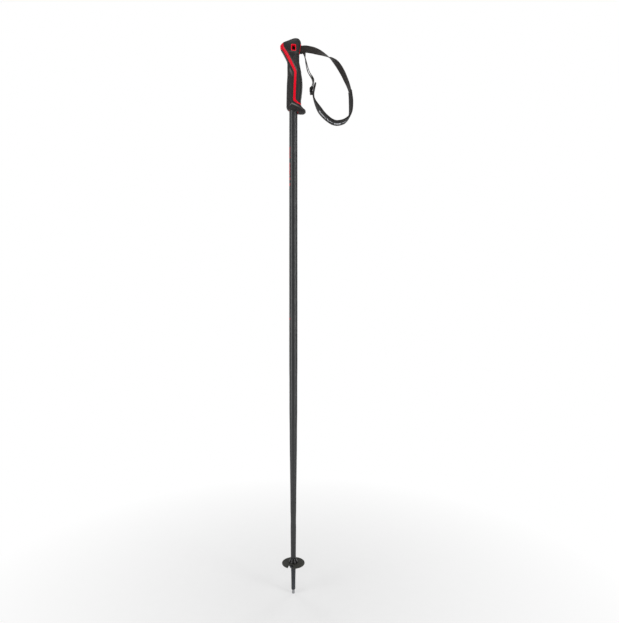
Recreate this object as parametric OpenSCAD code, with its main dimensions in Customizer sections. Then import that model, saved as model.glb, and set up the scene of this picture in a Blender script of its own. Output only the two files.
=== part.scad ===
// Alpine ski pole: tapered tube, two-colour grip with a wrist strap, basket and steel tip.
// Origin at the end of the steel tip, +Z up the pole, +X on the palm side. Millimetres.

/* [Shaft] */
// full height from the tip to the top of the grip
pole_h = 1200; // [1000:10:1350]
// outside diameter of the tube in its straight part
shaft_d = 18; // [16:0.5:20]
// wall of the tube
shaft_wall = 1; // [0.8:0.1:1.5]
// outside diameter of the tube at its lower end
shaft_low_d = 11; // [10.4:0.2:13]

/* [Grip] */
// thickness of the soft covers over the hard core
cover_t = 2.4; // [2:0.1:3]
// height that the textured inset stands above the palm cover
inset_proud = 0.4; // [0.2:0.1:0.8]
// side of the square window in the head
window_w = 7; // [6:0.5:8]
// depth of the window down to the strap block
window_depth = 6; // [3:0.5:8]

/* [Strap] */
// width of the webbing
web_w = 16; // [14:0.5:18]
// thickness of the webbing
web_t = 1.6; // [1.2:0.1:2]
// width of the wrist pad
pad_w = 26; // [24:1:34]
// thickness of the wrist pad
pad_t = 3.4; // [3:0.2:5]
// width of the slider
slider_w = 20; // [20:1:24]

/* [Basket and tip] */
// diameter of the basket
basket_d = 49; // [45:1:60]
// thickness of the basket disc
basket_t = 1.6; // [1.4:0.1:3]
// diameter of the hub where it meets the disc
hub_d = 19.6; // [18:0.2:21]
// width of the notch in the rim
notch_w = 10; // [6:0.5:12]
// radial gap between the hub and the ferrule collar
hub_gap = 0.08; // [0.05:0.01:0.1]
// diameter of the ferrule just above its end
ferrule_d = 8.7; // [8:0.1:10]
// diameter of the steel tip
tip_d = 5.6; // [5:0.1:6.5]

/* [Output] */
// sub-part to draw, or all

/* [Hidden] */

// shades of the finished pieces
c_tube = [0.24, 0.25, 0.26];
c_core = [0.86, 0.04, 0.09];
c_soft = [0.17, 0.16, 0.16];
c_inset = [0.24, 0.22, 0.21];
c_web = [0.15, 0.13, 0.12];
c_pad = [0.12, 0.12, 0.13];
c_lining = [0.26, 0.23, 0.21];
c_print = [0.82, 0.83, 0.85];
c_plastic = [0.08, 0.08, 0.09];
c_ferrule = [0.24, 0.25, 0.28];
c_disc = [0.24, 0.24, 0.22];
c_steel = [0.62, 0.63, 0.65];

// smoothness of turned pieces
fine = 96;
// room that keeps a cut clear of the faces it crosses
past = 1;

// tube
tube_r = shaft_d / 2;
low_r = shaft_low_d / 2;
tube_bottom = 77.2;
tube_top = pole_h - 44;
// drawn-down steps of the tube: height, share of the full radius kept over the lower end
TAPER = [
    [tube_bottom, 0], [110, 0.07], [141, 0.16], [156, 0.1], [179, 0.22], [224, 0.33], [247, 0.42],
    [285, 0.55], [308, 0.65], [361, 0.75], [391, 0.86], [467, 0.91], [483, 0.98], [505, 1]
];
function step_r(s) = low_r + (tube_r - low_r) * s[1];

// grip heights are measured down from the top of the pole
grip_base = pole_h - 160;
grip_mid = pole_h - 80;
grip_half = 80;
section_sides = 32;

// grip sections: height below the top, front edge, back edge, half width
GRIP = [
    [160.5, 15, 24, 8],
    [158, 0, 27, 13],
    [155, -10, 26.5, 14],
    [151.5, -14, 22.6, 14.2],
    [148, -15, 19.2, 14],
    [143, -15.2, 17.2, 13.8],
    [136, -15.2, 16.7, 13.8],
    [125, -15, 18, 14.2],
    [113, -14.8, 19.3, 14.8],
    [101, -14.5, 20, 15.2],
    [89, -13.8, 19.4, 15],
    [77, -13.2, 17.6, 14.2],
    [65, -13.3, 15.3, 13.4],
    [57, -13, 13.8, 13],
    [50, -13.8, 12.7, 13],
    [42, -17.2, 12.5, 13.6],
    [34, -21.4, 13, 14.4],
    [27, -25.2, 14.8, 15],
    [22, -28.4, 15.6, 15],
    [17, -29, 16.5, 14.8],
    [12, -25.6, 17.1, 14.2],
    [7.6, -15, 16.4, 12.6],
    [5, -9.4, 15.4, 11],
    [3, -5, 14, 9.2],
    [1.3, -0.8, 11.8, 6.8],
    [0.4, 2, 9.6, 4.4],
    [0, 4, 7.6, 2.2]
];

// the core stops short of the guard and of the swell of the palm
core_back = 17;

// one rounded section of the grip, drawn in by inset on every side
function grip_ring(s, inset) = let (
    back = inset > 0 ? min(s[2], core_back) : s[2],
    middle = (s[1] + back) / 2,
    rx = (back - s[1]) / 2 - inset,
    ry = s[3] - inset,
    z = grip_mid + (grip_half - s[0]) * (grip_half - inset) / grip_half
) [
    for (i = [0 : section_sides - 1])
        let (a = 360 * i / section_sides, c = cos(a), n = sin(a))
            [middle + rx * sign(c) * pow(abs(c), 0.88), ry * sign(n) * pow(abs(n), 0.88), z]
];

// faces that join rings of equal length into a closed skin
function skin_faces(rings, sides) = concat(
    [[for (i = [0 : sides - 1]) i]],
    [
        for (r = [0 : rings - 2], i = [0 : sides - 1])
            let (a = r * sides + i, b = r * sides + (i + 1) % sides)
                [a, a + sides, b + sides]
    ],
    [
        for (r = [0 : rings - 2], i = [0 : sides - 1])
            let (a = r * sides + i, b = r * sides + (i + 1) % sides)
                [a, b + sides, b]
    ],
    [[for (i = [0 : sides - 1]) rings * sides - 1 - i]]
);

// whole grip, drawn in by inset
module grip_form(inset) {
    polyhedron(
        points = [for (s = GRIP) each grip_ring(s, inset)],
        faces = skin_faces(len(GRIP), section_sides),
        convexity = 4
    );
}

// side outline given as height below the top, run across the grip from side to side
module across(outline) {
    rotate([90, 0, 0])
        linear_extrude(60, center = true)
            polygon([for (p = outline) [p[0], pole_h - p[1]]]);
}

// stripe: palm-side edge and finger-side edge of the core's band
STRIPE_PALM = [
    [-21.6, 14], [-21, 20], [-19.2, 24], [-14.8, 32], [-9.8, 41], [-4.7, 51], [-0.3, 60], [5.2, 71],
    [7.1, 76], [7.1, 80], [6.3, 100], [5.5, 120], [5.1, 134], [5.5, 136], [9.5, 140], [14.3, 141.4]
];
STRIPE_FINGER = [
    [-22.4, 29], [-20.3, 32], [-15.4, 41], [-10.1, 51], [-5.7, 60], [-0.2, 71], [1.9, 76], [2.3, 80],
    [1.5, 100], [0.7, 120], [0, 134], [0, 136.5], [0.6, 138], [2.3, 140], [8.3, 143.7], [17.3, 145.6]
];
STRIPE_END_PALM = [[40, 141.8]];
STRIPE_END_FINGER = [[40, 145.8]];
// upper and lower edge of the nose, from the stripe round the front
NOSE_TOP = [[-40, 10.3], [-21.8, 10.3]];
NOSE_LOW = [[-40, 24], [-27.5, 24], [-24.5, 25.5]];

function backwards(list) = [for (i = [len(list) - 1 : -1 : 0]) list[i]];

module stripe_zone() {
    across(concat(STRIPE_PALM, STRIPE_END_PALM, backwards(STRIPE_END_FINGER), backwards(STRIPE_FINGER)));
}

module nose_zone() {
    across(concat(NOSE_TOP, [STRIPE_PALM[0], STRIPE_PALM[1], STRIPE_FINGER[0]], backwards(NOSE_LOW)));
}

module finger_zone() {
    across(concat(NOSE_LOW, STRIPE_FINGER, STRIPE_END_FINGER, [[40, 175], [-40, 175]]));
}

module palm_zone() {
    across(concat([[-40, -5]], NOSE_TOP, STRIPE_PALM, STRIPE_END_PALM, [[40, -5]]));
}

// square window in the head
window_x = 0.9;
window_drop = 25;
window_h = window_w * 1.5;
rim_w = 1.8;

// slot for the webbing in the back of the head
slot_drop = 23;
slot_h = web_w + 1;
slot_w = 7;
pin_r = 1.5;
pin_x = 3.6;
ply_y = pin_r + 0.1 + web_t / 2;
strap_x = 17.4;

// block across the window: its ends sit below the surface of the head
module head_box(x0, x1, wide, drop, tall) {
    translate([x0, -wide / 2, pole_h - drop - tall / 2])
        cube([x1 - x0, wide, tall]);
}

module shaft() {
    outside = concat([for (s = TAPER) [step_r(s), s[0]]], [[tube_r, tube_top]]);
    inside = concat([[tube_r - shaft_wall, tube_top]], backwards([for (s = TAPER) [step_r(s) - shaft_wall, s[0]]]));
    color(c_tube)
        rotate_extrude($fn = fine)
            polygon(concat(outside, inside));
}

module grip_bore() {
    translate([0, 0, grip_base - 10])
        cylinder(h = tube_top - grip_base + 10, r = tube_r, $fn = fine);
}

// hard core: an inner body that comes to the surface at the nose, stripe, rims and bottom ring
module grip_core() {
    ring_r = 11.4;
    ring_top = 150;
    color(c_core)
        difference() {
            union() {
                grip_form(cover_t);
                intersection() {
                    grip_form(0);
                    union() {
                        stripe_zone();
                        nose_zone();
                        window_rim();
                        slot_rim();
                        translate([0, 0, pole_h - ring_top - 12])
                            cylinder(h = 12, r = ring_r, $fn = fine);
                    }
                }
            }
            grip_bore();
            window_hole();
            slot_hole();
            pin_hole();
        }
}

module window_rim() {
    head_box(window_x - window_w / 2 - rim_w, window_x + window_w / 2 + rim_w, 60, window_drop, window_h + 2 * rim_w);
}

module window_hole() {
    head_box(window_x - window_w / 2, window_x + window_w / 2, 60, window_drop, window_h);
}

module slot_rim() {
    head_box(pin_x, 40, slot_w + 2 * rim_w, slot_drop, slot_h + 2 * rim_w);
}

module slot_hole() {
    head_box(pin_x - ply_y - web_t / 2, 40, slot_w, slot_drop, slot_h);
}

module pin_hole() {
    translate([pin_x, 0, pole_h - slot_drop - slot_h / 2 - 3])
        cylinder(h = slot_h + 6, r = pin_r, $fn = fine);
}

// front of the grip with its finger ridges and the guard
module finger_cover() {
    color(c_soft)
        difference() {
            intersection() {
                grip_form(0);
                finger_zone();
            }
            grip_form(cover_t);
            stripe_zone();
            translate([0, 0, grip_base - 10])
                cylinder(h = 20, r = 11.4, $fn = fine);
        }
}

// textured patch on the palm side below the head, as heights below the top
INSET = [
    [40, 35], [11.5, 36.5], [8, 39.5], [2, 42], [-2.3, 45.5], [-2.5, 48], [1, 55.5],
    [5.5, 64], [9, 71.5], [12, 74], [40, 75.5]
];

module inset_zone() {
    across(INSET);
}

module palm_cover() {
    color(c_soft)
        difference() {
            intersection() {
                grip_form(0);
                palm_zone();
            }
            grip_form(cover_t);
            window_rim();
            slot_rim();
            inset_zone();
        }
}

module palm_inset() {
    color(c_inset)
        difference() {
            intersection() {
                grip_form(-inset_proud);
                inset_zone();
            }
            grip_form(cover_t);
        }
}

module strap_block() {
    block_y = 17;
    color(c_plastic)
        difference() {
            head_box(window_x - window_w / 2, window_x + window_w / 2, block_y, window_drop, window_h);
            head_box(pin_x - ply_y - web_t / 2, 40, slot_w, slot_drop, slot_h + past);
        }
}

module strap_block_pin() {
    color(c_steel)
        translate([pin_x, 0, pole_h - slot_drop - slot_h / 2 - 3])
            cylinder(h = slot_h + 6, r = pin_r, $fn = fine);
}

// end of the webbing: a loop round the pin and two plies out to the mouth of the slot
module strap_root_webbing() {
    bottom = pole_h - slot_drop - web_w / 2;
    color(c_web) {
        translate([pin_x, 0, bottom])
            rotate([0, 0, 90])
                rotate_extrude(angle = 180, $fn = fine)
                    translate([ply_y - web_t / 2, 0])
                        square([web_t, web_w]);
        for (side = [-1, 1])
            translate([pin_x, side * ply_y - web_t / 2, bottom])
                cube([strap_x - pin_x, web_t, web_w]);
    }
}

// route of the upper leg: reach, side, height below the top, roll of the width from level
UPPER = [
    [17.5, -2.4, 23, 90], [20, -2.4, 23, 90], [27, -2.4, 22.6, 90], [37, -2.2, 24, 87],
    [44, -2, 25.5, 83], [51, -1.6, 27.5, 76], [58, -1.2, 30, 64], [65, -0.8, 33, 50],
    [72, -0.4, 36.5, 36], [77.5, 0, 39.5, 23], [82, 0, 42, 8], [87, 0, 46, -6],
    [92, 0, 50.5, -19], [97, 0, 56.5, -26], [102.5, 0, 65, -29], [108, 0, 75, -28],
    [113, 0, 86, -25], [117, 0, 95, -20], [120.3, 0, 104, -16], [122.9, 0, 113, -13]
];
// route of the wrist pad, from the seam round to its free end
PAD = [
    [122.9, 0, 113, -13], [124.2, 0, 126, -11], [125, 0, 142, -11], [124.2, 0, 158, -9],
    [120.8, 0, 168, -5], [112.5, 0, 176.5, 0], [103, 0, 180.5, 1], [91.5, 0, 181.3, 1],
    [80, 0, 176.5, 3], [67, 0, 165.5, 6], [56.5, 0, 152.5, 8], [48.3, 0, 138.5, -1],
    [44.4, 0, 127.5, -5], [43.6, 0, 117, 0], [45.2, 0, 107, 2], [47.6, 0, 97, 4]
];
// route of the lower leg, down through the slider and half way round its bar
LOWER = [
    [17.5, 2.4, 23, 90], [19.3, 2.4, 23, 86], [21.4, 4.3, 23.8, 54], [22.9, 6.5, 27.2, 32],
    [23.7, 7.4, 31.6, 17], [25, 6.6, 37, 5], [26.8, 4.8, 43.4, 3], [28.9, 3, 50.4, 5],
    [30.8, 1.4, 57.8, 7], [33.1, 0.4, 65.5, 9], [35.8, 0, 72.5, 12], [39.2, 0, 78.5, 11],
    [42.4, 0, 84, 6], [44.2, 0, 90.5, -2], [43.6, 0, 97.5, -6], [42.4, 0, 104, -3],
    [41.2, 0, 107.6, 0], [40.65, 0, 109.8, 0], [39.95, 0, 111.55, 0], [38.2, 0, 112.25, 0],
    [36.4, 0, 111.7, 0], [35.75, 0, 110.6, 0], [35.75, 0, 110, 0]
];
// route of the tail, over the bar and back up along the lower leg
TAIL = [
    [35.75, 0, 109.9, 0], [35.75, 0, 109.3, 0], [36.4, 0, 107.7, 0], [38.2, 0, 106.3, 0],
    [40.1, 0, 103.2, 2], [41.3, 0, 97.4, 5], [41.9, 0, 90.8, 2], [40, 0, 85.5, -6],
    [36.5, 0, 79.7, -11], [32.4, 0, 73.2, -12], [29.9, 0, 65.6, -9], [28.2, 0, 57.8, -7],
    [26.9, 0, 51.4, -5]
];

function unit(v) = v / norm(v);

// one four-cornered ring of a band: u runs across its width, v out of its outer face
function band_ring(route, i, u0, u1, v0, v1) = let (
    last = len(route) - 1,
    a = route[max(i - 1, 0)],
    b = route[min(i + 1, last)],
    along = unit([b[0] - a[0], b[1] - a[1], a[2] - b[2]]),
    up = unit(cross(along, [0, 1, 0])),
    side = unit(cross(up, along)),
    roll = route[i][3],
    across_dir = cos(roll) * side + sin(roll) * up,
    out_dir = cross(along, across_dir),
    middle = [route[i][0], route[i][1], pole_h - route[i][2]]
) [for (c = [[u0, v0], [u1, v0], [u1, v1], [u0, v1]]) middle + c[0] * across_dir + c[1] * out_dir];

// skin of a band: opposite faces are split along the same diagonal, so stacked bands meet face to face
function band_faces(rings) = concat(
    [[0, 1, 2, 3]],
    [
        for (r = [0 : rings - 2], i = [0 : 3], half = [0, 1])
            let (
                a = r * 4 + i,
                b = r * 4 + (i + 1) % 4,
                near = half == 0
            )
                i < 2
                    ? (near ? [a, a + 4, b + 4] : [a, b + 4, b])
                    : (near ? [a, a + 4, b] : [b, a + 4, b + 4])
    ],
    [[for (i = [0 : 3]) rings * 4 - 1 - i]]
);

module band(route, u0, u1, v0, v1) {
    polyhedron(
        points = [for (i = [0 : len(route) - 1]) each band_ring(route, i, u0, u1, v0, v1)],
        faces = band_faces(len(route)),
        convexity = 6
    );
}

module webbing(route) {
    band(route, -web_w / 2, web_w / 2, -web_t / 2, web_t / 2);
}

module strap_upper_leg() {
    color(c_web)
        webbing(UPPER);
}

module strap_lower_leg() {
    color(c_web)
        webbing(LOWER);
}

module strap_tail() {
    color(c_web)
        webbing(TAIL);
}

// pad: shell outside, lining inside, bound edges on both sides
pad_half = pad_w / 2;
edge_w = 1.6;
lining_t = 1;

module pad_shell() {
    color(c_pad)
        band(PAD, edge_w - pad_half, pad_half - edge_w, lining_t - pad_t / 2, pad_t / 2);
}

module pad_lining() {
    color(c_lining)
        band(PAD, edge_w - pad_half, pad_half - edge_w, -pad_t / 2, lining_t - pad_t / 2);
}

module pad_piping() {
    color(c_lining) {
        band(PAD, -pad_half, edge_w - pad_half, -pad_t / 2, pad_t / 2);
        band(PAD, pad_half - edge_w, pad_half, -pad_t / 2, pad_t / 2);
    }
}

// pale strip along the outside of the lower run of the pad
module pad_reflector() {
    run = [for (i = [5 : 10]) PAD[i]];
    color(c_print)
        band(run, -3, 3, pad_t / 2, pad_t / 2 + 0.3);
}

// stitched block where the upper leg goes into the pad
module seam_stitching() {
    seam = [[122.4, 0, 110, -14], [122.9, 0, 113, -13], [123.3, 0, 116, -12.5]];
    inner = pad_t / 2 + 0.25;
    color(c_web)
        for (side = [0, 1])
            band(seam, -web_w / 2 - 1, web_w / 2 + 1, side ? inner : -inner - 0.8, side ? inner + 0.8 : -inner);
}

// slider: a two-bar frame; the webbing turns round the upper bar, a tab on the pad holds the lower one
bar_x = 38.2;
bar_drop = 109.8;
low_bar_x = 37.8;
low_bar_drop = 115.4;
bar_r = 1.3;
rail_w = 1.8;
rail_r = 1.8;

module cross_bar(x, drop, r, long) {
    translate([x, 0, pole_h - drop])
        rotate([90, 0, 0])
            cylinder(h = long, r = r, center = true, $fn = 32);
}

module slider() {
    color(c_plastic) {
        cross_bar(bar_x, bar_drop, bar_r, slider_w - past);
        cross_bar(low_bar_x, low_bar_drop, bar_r, slider_w - past);
        for (side = [-1, 1])
            translate([0, side * (slider_w - rail_w) / 2, 0])
                hull() {
                    cross_bar(bar_x, bar_drop, rail_r, rail_w);
                    cross_bar(low_bar_x, low_bar_drop, rail_r, rail_w);
                }
    }
}

// short loop sewn to the pad that holds the slider's lowest bar
module slider_tab() {
    tab_w = slider_w - 2 * rail_w - 1;
    tab_r = bar_r + 0.15;
    reach = 4;
    color(c_web)
        translate([low_bar_x, 0, pole_h - low_bar_drop])
            rotate([90, 0, 0])
                difference() {
                    union() {
                        cylinder(h = tab_w, r = tab_r + web_t / 2, center = true, $fn = 48);
                        translate([0, -tab_r - web_t / 2, -tab_w / 2])
                            cube([reach, web_t, tab_w]);
                    }
                    cylinder(h = tab_w + past, r = tab_r, center = true, $fn = 48);
                }
}

// ferrule: tapered plug in the tube, neck for the basket, collar, and a long tapered end
neck_r = 4.6;
neck_bottom = 62.6;
collar_r = 8.8;
collar_bottom = 55;
disc_z = 66.4;
socket_top = 20;
end_z = 9;
tip_r = tip_d / 2;
shank_r = tip_r - 0.6;

module tip_ferrule() {
    plug_low = low_r - shaft_wall - 0.02;
    plug_high = plug_low + 0.2;
    plug_top = 112;
    end_r = ferrule_d / 2;
    pad_seat_top = 24;
    color(c_ferrule)
        difference() {
            rotate_extrude($fn = fine)
                polygon([
                    [0, end_z], [end_r - 0.5, end_z], [end_r, end_z + 0.6], [end_r, pad_seat_top],
                    [5.3, collar_bottom], [6.7, collar_bottom + 0.6], [8, collar_bottom + 2],
                    [collar_r, collar_bottom + 4.2], [collar_r, collar_bottom + 5.6],
                    [7.8, neck_bottom], [neck_r, neck_bottom], [neck_r, tube_bottom],
                    [plug_low, tube_bottom], [plug_high, plug_top], [0, plug_top]
                ]);
            translate([0, 0, end_z - past])
                cylinder(h = socket_top - end_z + past, r = shank_r, $fn = fine);
        }
}

// steel tip: a shank in the ferrule, a shoulder against its end and a hollow-ground point
module steel_tip() {
    color(c_steel)
        rotate_extrude($fn = fine)
            polygon([
                [0, 1.4], [tip_r - 1.4, 0.9], [tip_r - 0.3, 0], [tip_r, 0], [tip_r, end_z],
                [shank_r, end_z], [shank_r, socket_top], [0, socket_top]
            ]);
}

// basket hub: cone above the disc, sleeve through it, foot on the collar
module basket_hub() {
    bore_r = neck_r + hub_gap;
    foot = neck_bottom + 0.15;
    top = tube_bottom - 1.2;
    base_r = hub_d / 2;
    groove = 1;
    color(c_plastic)
        rotate_extrude($fn = fine)
            polygon([
                [bore_r, foot], [7.2, foot], [7.2, disc_z - basket_t / 2], [7.2, disc_z + basket_t / 2],
                [base_r - groove, disc_z + basket_t / 2], [base_r - groove, disc_z + basket_t / 2 + 0.9],
                [base_r, disc_z + basket_t / 2 + 0.9], [base_r - 0.1, disc_z + basket_t / 2 + 2],
                [6.4, disc_z + 7.4], [5.5, disc_z + 9], [5.4, top], [bore_r, top]
            ]);
}

// basket disc: thin, slightly domed, with a thicker rim and a round-ended notch
notch_l = 13.4;
notch_turn = 254;

module basket_disc() {
    rim_r = basket_d / 2;
    low = disc_z - basket_t / 2;
    high = disc_z + basket_t / 2;
    dome = 0.9;
    color(c_disc)
        difference() {
            rotate_extrude($fn = fine)
                polygon([
                    [7.2, low], [rim_r - 6, low - dome / 2], [rim_r - 1, low - dome], [rim_r, low - dome + 0.4],
                    [rim_r, high - dome - 0.2], [rim_r - 0.8, high - dome + 0.2], [rim_r - 6, high - dome / 2],
                    [hub_d / 2 + 2, high], [7.2, high]
                ]);
            rotate([0, 0, notch_turn])
                translate([rim_r - notch_l + notch_w / 2, 0, low - 4]) {
                    translate([0, -notch_w / 2, 0])
                        cube([notch_l, notch_w, 8]);
                    cylinder(h = 8, r = notch_w / 2, $fn = 48);
                }
        }
}

shaft();
grip_core();
finger_cover();
palm_cover();
palm_inset();
strap_block();
strap_block_pin();
strap_root_webbing();
strap_upper_leg();
strap_lower_leg();
strap_tail();
slider();
slider_tab();
pad_shell();
pad_lining();
pad_piping();
pad_reflector();
seam_stitching();
basket_disc();
basket_hub();
tip_ferrule();
steel_tip();
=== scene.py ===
"""Looks of the ski pole: shapes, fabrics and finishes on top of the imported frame.

Lengths inside the script are millimetres in the row frame and become metres when a mesh is made.
Grip and strap positions are given as height below the top of the pole, as in the CAD source.
"""

import math

import bpy
import numpy as np
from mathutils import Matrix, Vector


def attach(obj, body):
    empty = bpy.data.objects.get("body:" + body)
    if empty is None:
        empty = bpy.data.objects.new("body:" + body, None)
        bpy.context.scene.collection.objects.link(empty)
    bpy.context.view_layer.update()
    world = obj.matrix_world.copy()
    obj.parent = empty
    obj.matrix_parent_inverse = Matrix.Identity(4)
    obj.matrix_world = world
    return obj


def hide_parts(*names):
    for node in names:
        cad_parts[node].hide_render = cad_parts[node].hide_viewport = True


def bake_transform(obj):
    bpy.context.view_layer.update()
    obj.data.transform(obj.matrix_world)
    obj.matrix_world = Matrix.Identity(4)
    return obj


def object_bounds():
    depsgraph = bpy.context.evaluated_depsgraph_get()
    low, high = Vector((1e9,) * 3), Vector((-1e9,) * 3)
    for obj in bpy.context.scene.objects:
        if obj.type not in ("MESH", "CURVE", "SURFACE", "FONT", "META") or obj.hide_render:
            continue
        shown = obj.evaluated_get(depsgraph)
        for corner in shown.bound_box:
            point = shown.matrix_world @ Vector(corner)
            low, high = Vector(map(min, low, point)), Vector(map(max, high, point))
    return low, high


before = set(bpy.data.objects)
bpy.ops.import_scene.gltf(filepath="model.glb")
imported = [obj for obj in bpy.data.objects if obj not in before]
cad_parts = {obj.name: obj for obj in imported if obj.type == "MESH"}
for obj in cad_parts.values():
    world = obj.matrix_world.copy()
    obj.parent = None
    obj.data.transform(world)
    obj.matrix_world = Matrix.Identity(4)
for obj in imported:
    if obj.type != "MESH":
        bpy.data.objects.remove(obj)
cad_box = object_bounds()

MM = 0.001
TOP = round(float(cad_box[1][2]) / MM)


# ---------------- mesh helpers

def mesh_piece(name, verts, faces, material, fields=None, smooth=True):
    """Mesh object from millimetre points, with named point fields."""
    mesh = bpy.data.meshes.new(name)
    metres = np.asarray(verts, float).reshape(-1, 3) * MM
    mesh.from_pydata(metres.tolist(), [], [list(map(int, face)) for face in faces])
    mesh.materials.append(material)
    for key, values in (fields or {}).items():
        layer = mesh.attributes.new(key, "FLOAT", "POINT")
        layer.data.foreach_set("value", np.asarray(values, np.float32))
    mesh.polygons.foreach_set("use_smooth", [smooth] * len(mesh.polygons))
    mesh.validate()
    mesh.update()
    obj = bpy.data.objects.new(name, mesh)
    bpy.context.scene.collection.objects.link(obj)
    return obj


def grid_faces(rows, cols, wrap_rows=False, wrap_cols=False, flip=False):
    """Quads over a rows x cols grid of points."""
    r, c = np.meshgrid(
        np.arange(rows if wrap_rows else rows - 1),
        np.arange(cols if wrap_cols else cols - 1),
        indexing="ij",
    )
    r, c = r.ravel(), c.ravel()
    r1, c1 = (r + 1) % rows, (c + 1) % cols
    quads = np.stack([r * cols + c, r * cols + c1, r1 * cols + c1, r1 * cols + c], axis=1)
    return quads[:, ::-1] if flip else quads


def tube_faces(rows, cols, flip=False):
    """Quads round a run of closed rings of points, with both ends capped."""
    first, last = list(range(cols)), [(rows - 1) * cols + k for k in range(cols)]
    return grid_faces(rows, cols, wrap_cols=True, flip=flip).tolist() + (
        [first, last[::-1]] if flip else [first[::-1], last]
    )


def points(x, y, z):
    """Points from coordinates of shapes that match."""
    return np.stack(np.broadcast_arrays(x, y, z), axis=-1)


class Pile:
    """Grids of points gathered into one mesh."""

    def __init__(self):
        self.verts, self.faces, self.count = [], [], 0

    def add(self, grid, faces):
        self.verts.append(grid.reshape(-1, 3))
        self.faces += [[i + self.count for i in face] for face in faces]
        self.count += len(self.verts[-1])

    def add_rings(self, rings, flip=False):
        """Run of closed rings of points, open at both ends."""
        self.add(np.array(rings), grid_faces(len(rings), len(rings[0]), wrap_cols=True, flip=flip))

    def piece(self, name, material, fields=None):
        return mesh_piece(name, np.vstack(self.verts), self.faces, material, fields=fields)


def sheet_piece(name, grid, material, s, u, flip=False):
    """Open sheet of cloth from a grid of points at runs s and widths u."""
    faces = grid_faces(*grid.shape[:2], flip=flip)
    return mesh_piece(name, grid, faces, material, fields=woven_fields(grid, s, u))


def woven_fields(grid, along, across):
    """Run and width of every point of a grid, in metres, for the cloth materials."""
    spread = lambda values: np.broadcast_to(values, grid.shape[:2]).ravel() * MM
    return {"along": spread(along), "across": spread(across)}


def stands_for(piece, node, body):
    """The piece takes the place of a CAD node and on its body."""
    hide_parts(node)
    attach(piece, body)


def turns(count):
    """Angles of that many points evenly round a circle."""
    return np.linspace(0, 2 * math.pi, count, endpoint=False)


def bell(x, width):
    return np.exp(-((x / width) ** 2))


def signed_power(x, power):
    return np.sign(x) * np.abs(x) ** power


def run_along(points):
    """Distance along a line of points, from its first."""
    return np.concatenate([[0], np.cumsum(np.linalg.norm(np.diff(points, axis=0), axis=1))])


def unit(v):
    return v / np.linalg.norm(v, axis=-1, keepdims=True)


def smoothstep(x, low, high):
    """0 below low, 1 above high, with an even slope at both."""
    t = np.clip((np.asarray(x, float) - low) / (high - low), 0, 1)
    return t * t * (3 - 2 * t)


def step_up_down(x, a, b, c, d):
    """0 below a, 1 between b and c, 0 above d."""
    return smoothstep(x, a, b) * (1 - smoothstep(x, c, d))


def pchip(xs, ys, x):
    """Smooth curve through the points that never overshoots them."""
    xs, ys, x = np.asarray(xs, float), np.asarray(ys, float), np.asarray(x, float)
    h, d = np.diff(xs), np.diff(ys) / np.diff(xs)
    m = np.zeros(len(xs))
    same = d[:-1] * d[1:] > 0
    w1, w2 = 2 * h[1:] + h[:-1], h[1:] + 2 * h[:-1]
    with np.errstate(divide="ignore", invalid="ignore"):
        inner = (w1 + w2) / (w1 / d[:-1] + w2 / d[1:])
    m[1:-1] = np.where(same, inner, 0)
    m[0], m[-1] = d[0], d[-1]
    x = np.clip(x, xs[0], xs[-1])
    k = np.clip(np.searchsorted(xs, x) - 1, 0, len(h) - 1)
    t = (x - xs[k]) / h[k]
    start = (ys[k] * (1 + 2 * t) + h[k] * m[k] * t) * (1 - t) ** 2
    return start + (ys[k + 1] * (3 - 2 * t) - h[k] * m[k + 1] * (1 - t)) * t**2


def catmull(points, step):
    """Catmull-Rom curve through rows of numbers, in steps of about step millimetres, and its run."""
    p = np.asarray(points, float)
    ends = np.vstack([2 * p[0] - p[1], p, 2 * p[-1] - p[-2]])
    t = np.linspace(0, 1, 40, endpoint=False)[:, None]
    dense = []
    for a, b, c, d in zip(ends, ends[1:], ends[2:], ends[3:]):
        bend = (2 * a - 5 * b + 4 * c - d) * t**2 + (3 * b - a - 3 * c + d) * t**3
        dense.append(0.5 * (2 * b + (c - a) * t + bend))
    dense = np.vstack([*dense, p[-1:]])
    length = run_along(dense[:, :3])
    count = max(2, int(round(length[-1] / step)) + 1)
    even = np.linspace(0, length[-1], count)
    return np.stack([np.interp(even, length, dense[:, k]) for k in range(p.shape[1])], axis=1), even


def lathe(name, outline, material, sides=96):
    """Turned piece from a closed outline of (radius, height) pairs."""
    outline = np.asarray(outline, float)
    a = turns(sides)
    r, z = outline[:, 0][:, None], outline[:, 1][:, None]
    verts = points(r * np.cos(a), r * np.sin(a), z)
    return mesh_piece(name, verts, grid_faces(len(outline), sides, wrap_rows=True, wrap_cols=True), material)


def rounded(points, radius, steps=4):
    """Outline of (radius, height) pairs with its corners cut round."""
    p = np.asarray(points, float)
    out = [p[0]]
    for i in range(1, len(p) - 1):
        a, b, c = p[i - 1], p[i], p[i + 1]
        la, lc = np.linalg.norm(a - b), np.linalg.norm(c - b)
        cut = min(radius, la * 0.45, lc * 0.45)
        s, e = b + (a - b) / la * cut, b + (c - b) / lc * cut
        for t in np.linspace(0, 1, steps + 1):
            out.append((1 - t) ** 2 * s + 2 * t * (1 - t) * b + t**2 * e)
    return np.array([*out, p[-1]])


# ---------------- materials

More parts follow.
